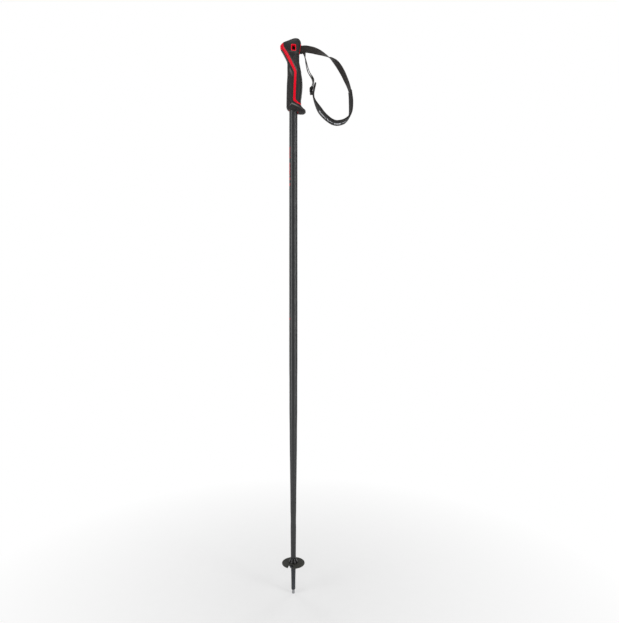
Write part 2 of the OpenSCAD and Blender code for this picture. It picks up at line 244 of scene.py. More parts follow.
class Look:
    """Small builder for a node material around one principled shader."""

    def __init__(self, name, **sockets):
        self.material = bpy.data.materials.new(name)
        self.material.use_nodes = True
        self.tree = self.material.node_tree
        self.shader = self.tree.nodes["Principled BSDF"]
        for key, value in sockets.items():
            self.shader.inputs[key.replace("_", " ")].default_value = value
        self.coords = self.tree.nodes.new("ShaderNodeTexCoord").outputs["Object"]

    def node(self, kind, inputs=None, **settings):
        n = self.tree.nodes.new("ShaderNode" + kind)
        for key, value in settings.items():
            setattr(n, key, value)
        for key, value in (inputs or {}).items():
            if isinstance(value, bpy.types.NodeSocket):
                self.tree.links.new(value, n.inputs[key])
            else:
                n.inputs[key].default_value = value
        return n

    def noise(self, scale, detail=3, rough=0.6, stretch=(1, 1, 1)):
        mapped = self.node("Mapping", {"Vector": self.coords, "Scale": stretch}).outputs[0]
        inputs = {"Vector": mapped, "Scale": scale, "Detail": detail, "Roughness": rough}
        return self.node("TexNoise", inputs).outputs["Fac"]

    def math(self, kind, a, b=0.0):
        return self.node("Math", {0: a, 1: b}, operation=kind).outputs[0]

    def add(self, a, b):
        return self.math("ADD", a, b)

    def less(self, a, b):
        return self.math("SUBTRACT", a, b)

    def times(self, a, b):
        return self.math("MULTIPLY", a, b)

    def sine(self, value, rate):
        return self.math("SINE", self.times(value, rate))

    def remap(self, value, low, high, to_low, to_high):
        ends = {"From Min": low, "From Max": high, "To Min": to_low, "To Max": to_high}
        return self.node("MapRange", {"Value": value, **ends}).outputs[0]

    def ramp(self, value, stops):
        n = self.node("ValToRGB", {"Fac": value})
        while len(n.color_ramp.elements) < len(stops):
            n.color_ramp.elements.new(0.5)
        for element, (at, colour) in zip(n.color_ramp.elements, stops):
            element.position, element.color = at, (*colour, 1)
        return n.outputs["Color"]

    def mix(self, factor, a, b):
        n = self.node("Mix", data_type="RGBA")
        for index, value in ((0, factor), (6, a), (7, b)):
            if isinstance(value, bpy.types.NodeSocket):
                self.tree.links.new(value, n.inputs[index])
            else:
                n.inputs[index].default_value = value if index == 0 else (*value, 1)
        return n.outputs[2]

    def field(self, name):
        return self.node("Attribute", attribute_name=name).outputs["Fac"]

    def xyz(self):
        return self.node("SeparateXYZ", {"Vector": self.coords}).outputs

    def set(self, socket, value):
        self.tree.links.new(value, self.shader.inputs[socket])

    def finish(self, colour, roughness, *layers):
        """Finished material, with a stack of (height, strength, distance in mm) layers of bumps."""
        self.set("Base Color", colour)
        self.set("Roughness", roughness)
        normal = None
        for height, strength, distance in layers:
            inputs = {"Height": height, "Strength": strength, "Distance": distance * MM}
            if normal is not None:
                inputs["Normal"] = normal
            normal = self.node("Bump", inputs).outputs[0]
        self.set("Normal", normal)
        return self.material


def rgb(r, g, b):
    """Display colour of 0-255 values as scene values."""
    return tuple(
        c / 12.92 if c <= 0.04045 else ((c + 0.055) / 1.055) ** 2.4 for c in (r / 255, g / 255, b / 255)
    )


def lacquer():
    """Charcoal lacquer with a fine metallic sparkle and faint drawing lines along the tube."""
    look = Look("Lacquer", Metallic=0.35, Roughness=0.38, Coat_Weight=0.25, Coat_Roughness=0.22)
    flakes = look.noise(5200, 1, 0.5)
    lines = look.noise(60, 4, 0.6, stretch=(9, 9, 0.05))
    cloud = look.noise(14, 3, 0.5)
    tone = look.ramp(cloud, [(0.3, rgb(54, 55, 56)), (0.7, rgb(63, 64, 64))])
    sparkle = look.remap(flakes, 0.6, 0.78, 0, 0.5)
    return look.finish(
        look.mix(sparkle, tone, rgb(98, 99, 99)),
        look.remap(look.add(lines, look.times(flakes, 0.6)), 0.4, 1.2, 0.3, 0.46),
        (flakes, 0.25, 0.02), (lines, 0.2, 0.03),
    )


def red_plastic():
    """Satin red moulding, with flow marks and a fine grain."""
    look = Look("RedSatin", Roughness=0.42, Coat_Weight=0.06, Coat_Roughness=0.25, Specular_IOR_Level=0.18)
    grain = look.noise(1900, 2, 0.5)
    flow = look.noise(46, 4, 0.6, stretch=(1, 1, 0.4))
    return look.finish(
        look.ramp(flow, [(0.3, rgb(238, 0, 34)), (0.7, rgb(254, 4, 48))]),
        look.remap(look.add(grain, flow), 0.6, 1.4, 0.3, 0.46),
        (grain, 0.18, 0.04),
    )


# ridges of the finger panel's knurl and pips of the palm patch, in radians per metre
KNURL_RATE = 3600
PIP_RATE = 4700


def soft_touch(name, dark, light, pattern):
    """Soft-touch rubber with a fine leathery grain and painted highlights; pattern adds the knurl of the
    finger panel.
    """
    look = Look(name, Roughness=0.58, Sheen_Weight=0.12, Sheen_Roughness=0.5, Specular_IOR_Level=0.34)
    grain = look.noise(2600, 3, 0.6)
    cells = look.node("TexVoronoi", {"Vector": look.coords, "Scale": 1500.0}).outputs["Distance"]
    cloud = look.noise(28, 4, 0.6)
    base = look.ramp(cloud, [(0.3, dark), (0.7, light)])
    layers = [(cells, 0.22, 0.05), (grain, 0.3, 0.04)]
    if pattern:
        knurl = look.field("knurl")
        x, _, z = look.xyz()
        slant = look.sine(look.add(look.times(x, 1.5), z), KNURL_RATE)
        cross = look.sine(look.less(look.times(x, 1.5), z), KNURL_RATE)
        ridges = look.times(look.math("MAXIMUM", slant, cross), knurl)
        # painted highlight: the knurl's ridge tops are painted paler than the hollows between them
        ridge_highlight = look.times(look.remap(ridges, -1, 1, 0, 0.35), knurl)
        base = look.mix(ridge_highlight, base, tuple(c * 1.9 for c in light))
        layers.append((ridges, 0.55, 0.16))
    pale_gloss, facet_highlight = look.field("pale_gloss"), look.field("facet_highlight")
    # painted highlight: a pale, streaky colour where the mesh marks bevels and sloping faces, standing in for
    # the light they catch
    streaks = look.remap(look.noise(240, 4, 0.65, stretch=(1, 1, 0.25)), 0.3, 0.7, 0.55, 1.0)
    painted_highlight = look.times(facet_highlight, streaks)
    # paler, glossier colour along the stripe edges, at the top of the grip and over the ribs of the finger
    # panel
    paler_base = look.mix(look.times(pale_gloss, 0.3), base, rgb(84, 79, 76))
    gloss = look.add(look.times(pale_gloss, 0.2), look.times(painted_highlight, 0.35))
    return look.finish(
        look.mix(look.times(painted_highlight, 0.7), paler_base, rgb(142, 138, 134)),
        look.remap(look.less(grain, gloss), 0.0, 0.8, 0.38, 0.62),
        *layers,
    )


def inset_grain():
    """Grained patch: small slanted diamonds pressed into the rubber, with painted shade in the hollows and
    painted highlights on the tops.
    """
    look = Look("GrainedInset", Roughness=0.6, Sheen_Weight=0.1, Specular_IOR_Level=0.35)
    x, _, z = look.xyz()
    lean = look.add(look.times(x, 1.1), look.times(z, 0.6))
    other = look.less(look.times(x, 0.7), look.times(z, 1.1))
    pips = look.times(look.sine(lean, PIP_RATE), look.sine(other, PIP_RATE))
    grain = look.noise(2600, 3, 0.6)
    # painted shade and highlight: the colour follows the pips' height, dark in the hollows and pale on the
    # tops
    tone = look.remap(pips, -0.6, 0.8, 0, 1)
    return look.finish(
        look.mix(tone, rgb(24, 22, 21), rgb(56, 52, 50)),
        look.remap(grain, 0.2, 0.8, 0.5, 0.7),
        (pips, 0.7, 0.16), (grain, 0.25, 0.04),
    )


def webbing_cloth(name, low, high, rib=1.3, yarn=0.62):
    """Ribbed narrow fabric: ribs across, yarns along, from the fields that the mesh carries, with painted
    shade between the ribs.
    """
    look = Look(name, Roughness=0.78, Sheen_Weight=0.35, Sheen_Roughness=0.45, Specular_IOR_Level=0.25)
    along, across = look.field("along"), look.field("across")
    turn = 2 * math.pi / (rib * MM)
    yarn_turn = 2 * math.pi / (yarn * MM)
    ribs = look.sine(along, turn)
    yarns = look.sine(across, yarn_turn)
    phase = look.math("SINE", look.add(look.times(along, turn / 2), look.times(across, yarn_turn / 2)))
    fuzz = look.noise(3400, 2, 0.7)
    cloud = look.noise(60, 3, 0.6)
    height = look.add(look.times(ribs, 0.6), look.times(phase, 0.35))
    uneven = look.times(look.add(fuzz, cloud), 0.5)
    # painted shade: the colour follows the rib height, dark between the ribs, with random unevenness on top
    tone = look.remap(look.add(height, uneven), -0.5, 1.5, 0, 1)
    return look.finish(
        look.mix(tone, low, high),
        look.remap(fuzz, 0.2, 0.8, 0.68, 0.9),
        (height, 0.6, 0.14), (yarns, 0.25, 0.06), (fuzz, 0.35, 0.05),
    )


def smooth_cloth(name, low, high, pitch, rough=0.72, sheen=0.3):
    """Fine plain weave, from the along and across fields, with painted shade in the hollows of the weave."""
    look = Look(name, Roughness=rough, Sheen_Weight=sheen, Sheen_Roughness=0.4, Specular_IOR_Level=0.3)
    along, across = look.field("along"), look.field("across")
    turn = math.pi / (pitch * MM)
    weave = look.times(look.sine(along, turn), look.sine(across, turn))
    fuzz = look.noise(4200, 2, 0.7)
    cloud = look.noise(70, 4, 0.6)
    # painted shade: the weave's hollows are darker, mixed with random fuzz and clouds
    tone = look.remap(look.add(look.times(weave, 0.5), look.add(fuzz, cloud)), 0.2, 1.8, 0, 1)
    return look.finish(
        look.mix(tone, low, high),
        look.remap(fuzz, 0.2, 0.8, rough - 0.1, rough + 0.1),
        (weave, 0.45, 0.09), (fuzz, 0.3, 0.05),
    )


def plastic(name, low, high, rough, coat=0.0, grain_size=1500, depth=0.05, streak=(1, 1, 1)):
    """Moulded plastic with a fine surface grain and slow changes of tone and gloss."""
    look = Look(name, Roughness=rough, Coat_Weight=coat, Coat_Roughness=0.12, Specular_IOR_Level=0.45)
    grain = look.noise(grain_size, 3, 0.6)
    cloud = look.noise(60, 4, 0.6, stretch=streak)
    return look.finish(
        look.ramp(cloud, [(0.3, low), (0.72, high)]),
        look.remap(look.add(grain, cloud), 0.5, 1.5, rough * 0.82, rough * 1.22),
        (grain, 0.25, depth),
    )


def ground_steel():
    """Plain steel with turning marks round the axis."""
    look = Look("GroundSteel", Metallic=1.0, Roughness=0.3)
    marks = look.noise(40, 3, 0.6, stretch=(1, 1, 120))
    scuff = look.noise(420, 4, 0.7)
    return look.finish(
        look.ramp(scuff, [(0.35, rgb(158, 160, 163)), (0.7, rgb(206, 207, 209))]),
        look.remap(look.add(marks, scuff), 0.6, 1.4, 0.22, 0.42),
        (marks, 0.4, 0.03), (scuff, 0.2, 0.03),
    )


def film(name, colour, rough=0.35):
    """Printed film: thin ink or reflective bead layer, slightly patchy."""
    look = Look(name, Roughness=rough)
    beads = look.noise(5200, 1, 0.5)
    patch = look.noise(160, 4, 0.7)
    faded = tuple(c * 0.8 for c in colour)
    return look.finish(
        look.mix(look.remap(patch, 0.35, 0.7, 0, 1), faded, colour),
        look.remap(beads, 0.3, 0.7, rough * 0.8, rough * 1.4),
        (beads, 0.3, 0.03),
    )


M_TUBE = lacquer()
M_RED = red_plastic()
M_SOFT = soft_touch("SoftTouch", rgb(27, 25, 24), rgb(36, 33, 32), False)
M_FINGER = soft_touch("SoftTouchKnurled", rgb(27, 25, 24), rgb(36, 33, 32), True)
M_INSET = inset_grain()
M_WEB = webbing_cloth("Webbing", rgb(17, 14, 13), rgb(54, 48, 44))
M_SHELL = smooth_cloth("PadShell", rgb(12, 12, 13), rgb(27, 27, 29), 0.5, sheen=0.15)
M_LINING = smooth_cloth("PadLining", rgb(14, 13, 13), rgb(32, 30, 29), 0.8, 0.85, 0.12)
M_BIND = smooth_cloth("PadBinding", rgb(22, 20, 19), rgb(44, 41, 39), 0.45, 0.8, 0.2)
M_THREAD = smooth_cloth("Thread", rgb(26, 24, 23), rgb(52, 48, 46), 0.35)
M_FILM = film("ReflectiveFilm", rgb(226, 228, 234))
M_MARK_RED = film("RedMark", rgb(206, 24, 40), 0.4)
M_MARK_PALE = film("PaleMark", rgb(190, 192, 196), 0.4)
M_BLACK = plastic("BlackPlastic", rgb(20, 20, 21), rgb(36, 36, 38), 0.42)
M_BLOCK = plastic("BlockPlastic", rgb(8, 8, 9), rgb(18, 18, 19), 0.6)
M_HUB = plastic("GlossHub", rgb(6, 6, 6), rgb(14, 14, 14), 0.28, coat=0.15, depth=0.02)
M_DISC = plastic("BasketPlastic", rgb(52, 53, 49), rgb(68, 69, 63), 0.46)
M_FERRULE = plastic(
    "FerrulePlastic", rgb(44, 47, 52), rgb(62, 66, 72), 0.26, grain_size=1900, streak=(1, 1, 0.2)
)
M_STEEL = ground_steel()


# ---------------- camera: the photograph looks at the pole from mid height

camera_data = bpy.data.cameras.new("Camera")
camera_data.sensor_fit = "VERTICAL"
camera_data.sensor_height = 24
camera_data.sensor_width = 24
camera_data.lens = 19.2
camera_data.clip_start, camera_data.clip_end = 0.02, 60
camera = bpy.data.objects.new("Camera", camera_data)
camera.location = (0.035, -1.08, 0.61)
camera.rotation_euler = (math.pi / 2, 0, 0)
bpy.context.scene.collection.objects.link(camera)
bpy.context.scene.camera = camera


# ---------------- strap: routes as in the CAD source

# reach, side, height below the top, roll of the width
UPPER = [
    [17.5, -2.4, 23, 90], [20, -2.4, 23, 90], [27, -2.4, 22.6, 90], [37, -2.2, 24, 87],
    [44, -2, 25.5, 83], [51, -1.6, 27.5, 76], [58, -1.2, 30, 64], [65, -0.8, 33, 50],
    [72, -0.4, 36.5, 36], [77.5, 0, 39.5, 23], [82, 0, 42, 8], [87, 0, 46, -6],
    [92, 0, 50.5, -19], [97, 0, 56.5, -26], [102.5, 0, 65, -29], [108, 0, 75, -28],
    [113, 0, 86, -25], [117, 0, 95, -20], [120.3, 0, 104, -16], [122.9, 0, 113, -13],
]
PAD = [
    [122.9, 0, 113, -13], [124.2, 0, 126, -11], [125, 0, 142, -11], [124.2, 0, 158, -9],
    [120.8, 0, 168, -5], [112.5, 0, 176.5, 0], [103, 0, 180.5, 1], [91.5, 0, 181.3, 1],
    [80, 0, 176.5, 3], [67, 0, 165.5, 6], [56.5, 0, 152.5, 8], [48.3, 0, 138.5, -1],
    [44.4, 0, 127.5, -5], [43.6, 0, 117, 0], [45.2, 0, 107, 2], [47.6, 0, 97, 4],
]
LOWER = [
    [17.5, 2.4, 23, 90], [19.3, 2.4, 23, 86], [21.4, 4.3, 23.8, 54], [22.9, 6.5, 27.2, 32],
    [23.7, 7.4, 31.6, 17], [25, 6.6, 37, 5], [26.8, 4.8, 43.4, 3], [28.9, 3, 50.4, 5],
    [30.8, 1.4, 57.8, 7], [33.1, 0.4, 65.5, 9], [35.8, 0, 72.5, 12], [39.2, 0, 78.5, 11],
    [42.4, 0, 84, 6], [44.2, 0, 90.5, -2], [43.6, 0, 97.5, -6], [42.4, 0, 104, -3],
    [41.2, 0, 107.6, 0], [40.65, 0, 109.8, 0], [39.95, 0, 111.55, 0], [38.2, 0, 112.25, 0],
    [36.4, 0, 111.7, 0], [35.75, 0, 110.6, 0], [35.75, 0, 110, 0],
]
TAIL = [
    [35.75, 0, 109.9, 0], [35.75, 0, 109.3, 0], [36.4, 0, 107.7, 0], [38.2, 0, 106.3, 0],
    [40.1, 0, 103.2, 2], [41.3, 0, 97.4, 5], [41.9, 0, 90.8, 2], [40, 0, 85.5, -6],
    [36.5, 0, 79.7, -11], [32.4, 0, 73.2, -12], [29.9, 0, 65.6, -9], [28.2, 0, 57.8, -7],
    [26.9, 0, 51.4, -5],
]
WEB_W = 16.0
WEB_T = 1.6
PAD_W = 26.0
PAD_T = 3.4
RIB = 1.3


class Band:
    """Smooth run along a route: at(s, u, v) is the point s along it, u across and v out of its face."""

    def __init__(self, route, step):
        rows, self.s = catmull([[x, y, TOP - drop, roll] for x, y, drop, roll in route], step)
        self.middle = rows[:, :3]
        along = unit(np.gradient(self.middle, axis=0))
        up = unit(np.cross(along, [0, 1, 0]))
        roll = np.radians(rows[:, 3])[:, None]
        self.across = np.cos(roll) * np.cross(up, along) + np.sin(roll) * up
        self.out = np.cross(along, self.across)
        self.length = self.s[-1]

    def at(self, s, u, v):
        s, u, v = np.broadcast_arrays(np.asarray(s, float), u, v)
        pick = lambda table: np.stack([np.interp(s, self.s, table[:, k]) for k in range(3)], axis=-1)
        return pick(self.middle) + u[..., None] * pick(self.across) + v[..., None] * pick(self.out)


def woven_piece(name, rings, along, across):
    """Closed strip of webbing from rings of points round its section."""
    faces = tube_faces(*rings.shape[:2], flip=True)
    return mesh_piece(name, rings, faces, M_WEB, fields=woven_fields(rings, along, across))


def flat_ring(reach, edge, count=13):
    """Outline of a strip's section: (place across, share of the thickness), flat out to reach."""
    ring = np.array([(u, 1.0) for u in np.linspace(-1, 1, count) * reach] + edge)
    return np.vstack([ring, -ring])


def ribbon(name, band, start, end, depth=0.13):
    """Strip of a webbing band between two runs, with raised ribs across it, firm edges and closed ends."""
    half, thick = WEB_W / 2, WEB_T / 2
    ring = flat_ring(half - 0.7, [(half - 0.25, 0.72), (half, 0.0), (half - 0.25, -0.72)])
    s = band.s[(band.s >= start - 1e-6) & (band.s <= end + 1e-6)][:, None]
    wave = np.cos(2 * math.pi * s / RIB)
    lift = 1 - depth / thick * (0.5 - 0.5 * wave)
    edge = 0.06 * wave * (np.abs(ring[:, 0]) > half - 0.5)
    selvedge = 1 - 0.12 * smoothstep(np.abs(ring[:, 0]), half - 2.2, half - 0.9)
    width = ring[:, 0] + edge * np.sign(ring[:, 0])
    verts = band.at(s + 0 * ring[:, 0], width, ring[:, 1] * thick * lift * selvedge)
    return woven_piece(name, verts, s, ring[:, 0])


# reach where the legs start inside the slot; heights below the top of the slot and of the
# cut above the slider
LEG_START = 6.5
SLOT_DROP = 23.0
FOLD_DROP = 98.5
upper_band = Band([[LEG_START, -2.4, SLOT_DROP, 90], [12, -2.4, SLOT_DROP, 90], *UPPER], RIB / 4)
lower_band = Band([[LEG_START, 2.4, SLOT_DROP, 90], [12, 2.4, SLOT_DROP, 90], *LOWER, *TAIL], RIB / 4)


def root_loop(pin_x, radius):
    """End of the webbing inside the head: out of the slot, round the pin and back."""
    turn = np.linspace(math.pi / 2, 3 * math.pi / 2, 33)
    run_in = np.linspace(LEG_START - 0.05, pin_x, 8)[:-1]
    line = np.concatenate([
        np.stack([run_in, 0 * run_in + radius], axis=1),
        np.stack([pin_x + radius * np.cos(turn), radius * np.sin(turn)], axis=1),
        np.stack([run_in[::-1], 0 * run_in - radius], axis=1),
    ])
    out = np.concatenate([[[0, 1]] * 7, np.stack([np.cos(turn), np.sin(turn)], axis=1), [[0, -1]] * 7])
    run = run_along(line)
    half = WEB_W / 2
    ring = flat_ring(half - 0.3, [(half, 0.0)])
    thick = WEB_T / 2 * (1 - 0.1 * np.sin(math.pi * run / RIB) ** 2)
    v = thick[:, None] * ring[:, 1]
    x, y = line[:, :1] + v * out[:, :1], line[:, 1:] + v * out[:, 1:]
    rings = points(x, y, TOP - SLOT_DROP + ring[:, 0])
    return woven_piece("webbing_root_loop", rings, run[:, None], ring[:, 0])


PIN_X, PIN_R = 3.6, 1.5
root = root_loop(PIN_X, PIN_R + 0.1 + WEB_T / 2)
stands_for(root, "strap_root_webbing", "pole")
# the lower leg stops above the slider; there the tail piece takes over, folds round the bar and
# runs back up
fold_row = int(np.argmax(lower_band.middle[:, 2] < TOP - FOLD_DROP))
fold_run = float(lower_band.s[fold_row])
upper_web = ribbon("webbing_upper_leg", upper_band, 0, upper_band.length)
lower_web = ribbon("webbing_lower_leg", lower_band, 0, fold_run)
tail_web = ribbon("webbing_tail", lower_band, fold_run, lower_band.length)
for piece, node in ((upper_web, "strap_upper_leg"), (lower_web, "strap_lower_leg"), (tail_web, "strap_tail")):
    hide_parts(node)
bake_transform(upper_web)
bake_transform(lower_web)
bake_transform(tail_web)


# ---------------- wrist pad

PAD_HALF = PAD_W / 2
SEAM_HALF = 9.2
END_ROUND = 6.0
pad_band = Band(PAD, 0.5)
pad_len = pad_band.length


def pad_width(s):
    """Half width of the pad: drawn in at the seam, full by the first bend."""
    return SEAM_HALF + (PAD_HALF - SEAM_HALF) * smoothstep(s, 0, 24)


def pad_crown(s, u):
    """Half thickness of the pad: full in the middle, thin at the edges."""
    return PAD_T / 2 * (1.12 - 0.5 * np.clip(np.abs(u) / pad_width(s), 0, 1) ** 3)


def pad_surface(s, u, outer):
    """Point on the outer or inner face: crowned, with folds near the seam and a slight ripple, the inner face
    with a shallow groove down its middle.
    """
    crown = pad_crown(s, u)
    if outer:
        near_seam = smoothstep(s, 2, 14) * (1 - smoothstep(s, 52, 78))
        folds = (-2.5, 0.05, 0.5, 0.8), (3.4, -0.03, 0.4, 0.7), (7.6, 0.02, 0.3, 0.6)
        for middle, drift, deep, wide in folds:
            crown = crown - deep * near_seam * bell(u - middle - drift * (s - 30), wide)
        crown = crown + 0.07 * np.sin(s / 4.3 + u * 0.21) * np.sin(s / 11 + 1.3)
    else:
        crown = crown - 0.22 * bell(u, 0.8) + 0.06 * np.sin(s / 5.1 - u * 0.3)
    return pad_band.at(s, u, crown if outer else -crown)


def pad_outline(count):
    """Outline of the pad in run and width, open at the seam, with the way out of it."""
    run = np.linspace(0, pad_len - END_ROUND, count)
    arc = np.linspace(0, math.pi / 2, 14)[1:]
    s_side = run
    u_side = pad_width(run) - 1.0
    corner_s = pad_len - END_ROUND + (END_ROUND - 1.0) * np.sin(arc)
    corner_u = PAD_HALF - 1.0 - (END_ROUND - 1.0) * (1 - np.cos(arc))
    across = np.linspace(corner_u[-1], -corner_u[-1], 24)[1:-1]
    s = np.concatenate([s_side, corner_s, 0 * across + corner_s[-1], corner_s[::-1], s_side[::-1]])
    u = np.concatenate([u_side, corner_u, across, -corner_u[::-1], -u_side[::-1]])
    ds, du = np.gradient(s), np.gradient(u)
    size = np.hypot(ds, du)
    return s, u, -du / size, ds / size


def end_trim(s):
    """Largest half width that stays inside the rounded free end."""
    over = np.clip(s - (pad_len - END_ROUND), 0, END_ROUND)
    return pad_width(s) - (END_ROUND - np.sqrt(np.maximum(END_ROUND**2 - over**2, 0)))


def pad_face(name, outer, material):
    s = np.linspace(0, pad_len - 0.9, int(pad_len / 0.9))[:, None]
    u = np.linspace(-1, 1, 49)[None, :] * (end_trim(s) - 0.9)
    s = np.broadcast_to(s, u.shape)
    return sheet_piece(name, pad_surface(s, u, outer), material, s, u, flip=outer)


pad_shell = pad_face("pad_shell_cloth", True, M_SHELL)
stands_for(pad_shell, "pad_shell", "strap")
pad_lining = pad_face("pad_lining_cloth", False, M_LINING)
stands_for(pad_lining, "pad_lining", "strap")

# folded tape over the edge
o_s, o_u, n_s, n_u = pad_outline(int(pad_len / 0.45))
turn = turns(20)
tape_a = 1.05 * signed_power(np.cos(turn), 0.8)
tape_b = 1.55 * signed_power(np.sin(turn), 0.8)
tape_run = run_along(np.stack([o_s, o_u], axis=1))
pucker = 1 + 0.015 * np.sin(tape_run * 2 * math.pi / 3.1)[:, None]
flip_n = np.where(o_u * n_u + (o_s - pad_len / 2) * n_s < 0, -1, 1)[:, None]
tape = pad_band.at(
    np.clip(o_s[:, None] + n_s[:, None] * flip_n * tape_a, 0, pad_len),
    o_u[:, None] + n_u[:, None] * flip_n * tape_a,
    tape_b * pucker,
)
binding = mesh_piece(
    "pad_edge_binding", tape, tube_faces(*tape.shape[:2]), M_BIND,
    fields=woven_fields(tape, tape_run[:, None], turn * 1.4),
)
stands_for(binding, "pad_piping", "strap")


def stitches(name, starts, ends, lifts, radius):
    """Small thread bars from starts to ends, arched up along lifts."""
    rings, sides = 5, 6
    bulge = np.sin(math.pi * np.linspace(0, 1, rings))[:, None, None]
    along = np.linspace(0, 1, rings)[:, None, None]
    a = turns(sides)[None, :, None]
    pile = Pile()
    for p, q, n in zip(starts, ends, lifts):
        across = np.cross(unit(q - p), n)
        centre = p + (q - p) * along + n * radius * (bulge * 0.9 - 0.35)
        grid = centre + radius * (0.35 + 0.65 * bulge) * (np.cos(a) * across + np.sin(a) * n)
        pile.add(grid, tube_faces(rings, sides, flip=True))
    run = np.arange(pile.count) % (rings * sides)
    fields = {"along": (run // sides) * 0.3 * MM, "across": (run % sides) * 0.25 * MM}
    piece = pile.piece(name, M_THREAD, fields)
    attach(piece, "strap")


def stitch_row(s, u, outer, gap=0.11):
    """Starts, ends and lifts of a row of stitches on one face of the pad; gap is a share of each."""
    p = pad_surface(s, u, outer)
    lift = unit((pad_surface(s, u, True) - pad_surface(s, u, False)) * (1 if outer else -1))
    step = p[1:] - p[:-1]
    return p[:-1] + step * gap, p[:-1] + step * (1 - gap), lift[:-1]


rows = []
for outer in (True, False):
    s = np.arange(7, pad_len - 3, 3.1)
    rows += [stitch_row(s, sign * (end_trim(s) - 2.7), outer) for sign in (-1, 1)]
    u = np.arange(-9.5, 9.6, 2.7)
    rows.append(stitch_row(0 * u + pad_len - 2.9, u, outer))
stitches("pad_edge_stitching", *(np.vstack(part) for part in zip(*rows)), 0.17)

# seam: the end of the webbing laid on both faces and sewn down with cross rows
SEAM_LEN = 7.2
for outer, name in ((True, "seam_webbing_outer"), (False, "seam_webbing_inner")):
    half = WEB_W / 2 + 0.3
    s, u = np.meshgrid(np.linspace(0, SEAM_LEN, 26), np.linspace(-half, half, 31), indexing="ij")
    edge = np.minimum(np.minimum(s, SEAM_LEN - s), half - np.abs(u))
    rise = np.sqrt(np.clip(edge / 0.7, 0, 1)) + 0.07 * np.cos(2 * math.pi * s / RIB)
    v = (pad_crown(s, u) - 0.25 + rise * 0.8) * (1 if outer else -1)
    patch = sheet_piece(name, pad_band.at(s, u, v), M_WEB, s, u, flip=outer)
    stands_for(patch, "seam_stitching", "strap")

rows = []
for sign in (1, -1):
    for row in (1.5, 5.7):
        u = np.arange(-7.4, 7.5, 1.15)
        v = sign * (pad_crown(row, u) + 0.6)
        zig = row + 0.55 * np.where(np.arange(len(u)) % 2, 1, -1)
        p = pad_band.at(zig, u, v)
        n = pad_band.at(zig, u, v + sign) - p
        rows.append((p[:-1], p[1:], n[:-1]))
stitches("seam_bar_tacks", *(np.vstack(part) for part in zip(*rows)), 0.27)

# pale film bars along the outside of the lower run, in place of lettering
FILM_LOW, FILM_HIGH = -3.2, 3.2
FILM_RISE = 0.12


def run_at(x):
    """Distance along the pad where its lower run passes the reach x."""
    lower = slice(int(0.28 * len(pad_band.s)), int(0.93 * len(pad_band.s)))
    xs, ss = pad_band.middle[lower, 0], pad_band.s[lower]
    return float(np.interp(x, xs[::-1], ss[::-1]))


# each bar: from run to run, from width to width, slant
first, last = run_at(57.5), run_at(72.5)
slats = np.linspace(first, last, 13)
bars = [(a, a + (b - a) * 0.6, FILM_LOW + 0.6, FILM_LOW + 4.2, -0.12) for a, b in zip(slats[:-1], slats[1:])]
bars += [
    (first, last, FILM_LOW + 5.0, FILM_LOW + 6.0, 0.0),
    (run_at(76), run_at(73.4), FILM_LOW, FILM_HIGH, -0.5),
    (run_at(86.5), run_at(78.5), FILM_LOW + 1.2, FILM_LOW + 3.2, 0.0),
    (run_at(103), run_at(89), FILM_LOW + 0.4, FILM_HIGH, 0.15),
    (run_at(113), run_at(105.5), FILM_LOW + 1.0, FILM_HIGH - 3.0, -0.3),
]
pile = Pile()
for s0, s1, u0, u1, slant in bars:
    u = np.linspace(u0, u1, 9)[None, :]
    s = np.linspace(s0, s1, int(abs(s1 - s0) / 0.8) + 2)[:, None] + slant * (u - u0)
    p = pad_surface(s, u, True)
    pile.add(p + FILM_RISE * unit(p - pad_surface(s, u, False)), grid_faces(*s.shape, flip=True))
stands_for(pile.piece("pad_film_bars", M_FILM), "pad_reflector", "strap")


# ---------------- slider

BAR_X, BAR_DROP = 38.2, 109.8
LOW_X, LOW_DROP = 37.8, 115.4
BAR_R, RAIL_R = 1.3, 1.8
SLIDER_W, RAIL_W = 20.0, 1.8


def rail_outline(grow):
    """Side outline of a rail: two knuckles joined by a narrower waist."""
    line, run = catmull([[BAR_X, 0, -BAR_DROP], [LOW_X, 0, -LOW_DROP]], 0.3)
    line = line[:, [0, 2]]
    d = unit(np.gradient(line, axis=0))
    n = np.stack([-d[:, 1], d[:, 0]], axis=1)
    waist = 0.5 * np.sin(math.pi * run / run[-1]) ** 2
    width = (RAIL_R - 0.02 - waist + grow)[:, None]
    left, right = line + n * width, line - n * width
    arc = np.linspace(0, math.pi, 14)[1:-1]
    cap = lambda c, a, b: [c + math.cos(t) * a + math.sin(t) * b for t in arc]
    end = cap(line[-1], n[-1] * width[-1], d[-1] * width[-1])
    start = cap(line[0], -n[0] * width[0], -d[0] * width[0])
    return np.vstack([left, end, right[::-1], start])


# rounded edge of a rail: how far from its middle, how much wider
RAIL_EDGE = [(0.9, -0.5), (0.82, -0.2), (0.6, -0.04), (0.3, 0)]
pile = Pile()
for side in (-1, 1):
    rings = []
    for dy, grow in [(-dy, grow) for dy, grow in RAIL_EDGE] + RAIL_EDGE[::-1]:
        o = rail_outline(grow)
        y = side * (SLIDER_W - RAIL_W) / 2 + dy
        rings.append(points(o[:, 0], y, TOP + o[:, 1]))
    pile.add(np.array(rings), tube_faces(len(rings), len(rings[0])))
ys = np.linspace(1 - SLIDER_W / 2, SLIDER_W / 2 - 1, 90)[:, None]
a = turns(28)
for x, drop, teeth in ((BAR_X, BAR_DROP, 0.06), (LOW_X, LOW_DROP, 0)):
    r = BAR_R + teeth * (np.cos(ys * 2 * math.pi / 1.2) - 1) + 0 * a
    rings = points(x + r * np.cos(a), ys, TOP - drop + r * np.sin(a))
    pile.add(rings, tube_faces(*rings.shape[:2], flip=True))
stands_for(pile.piece("slider_frame", M_BLACK), "slider", "slider")

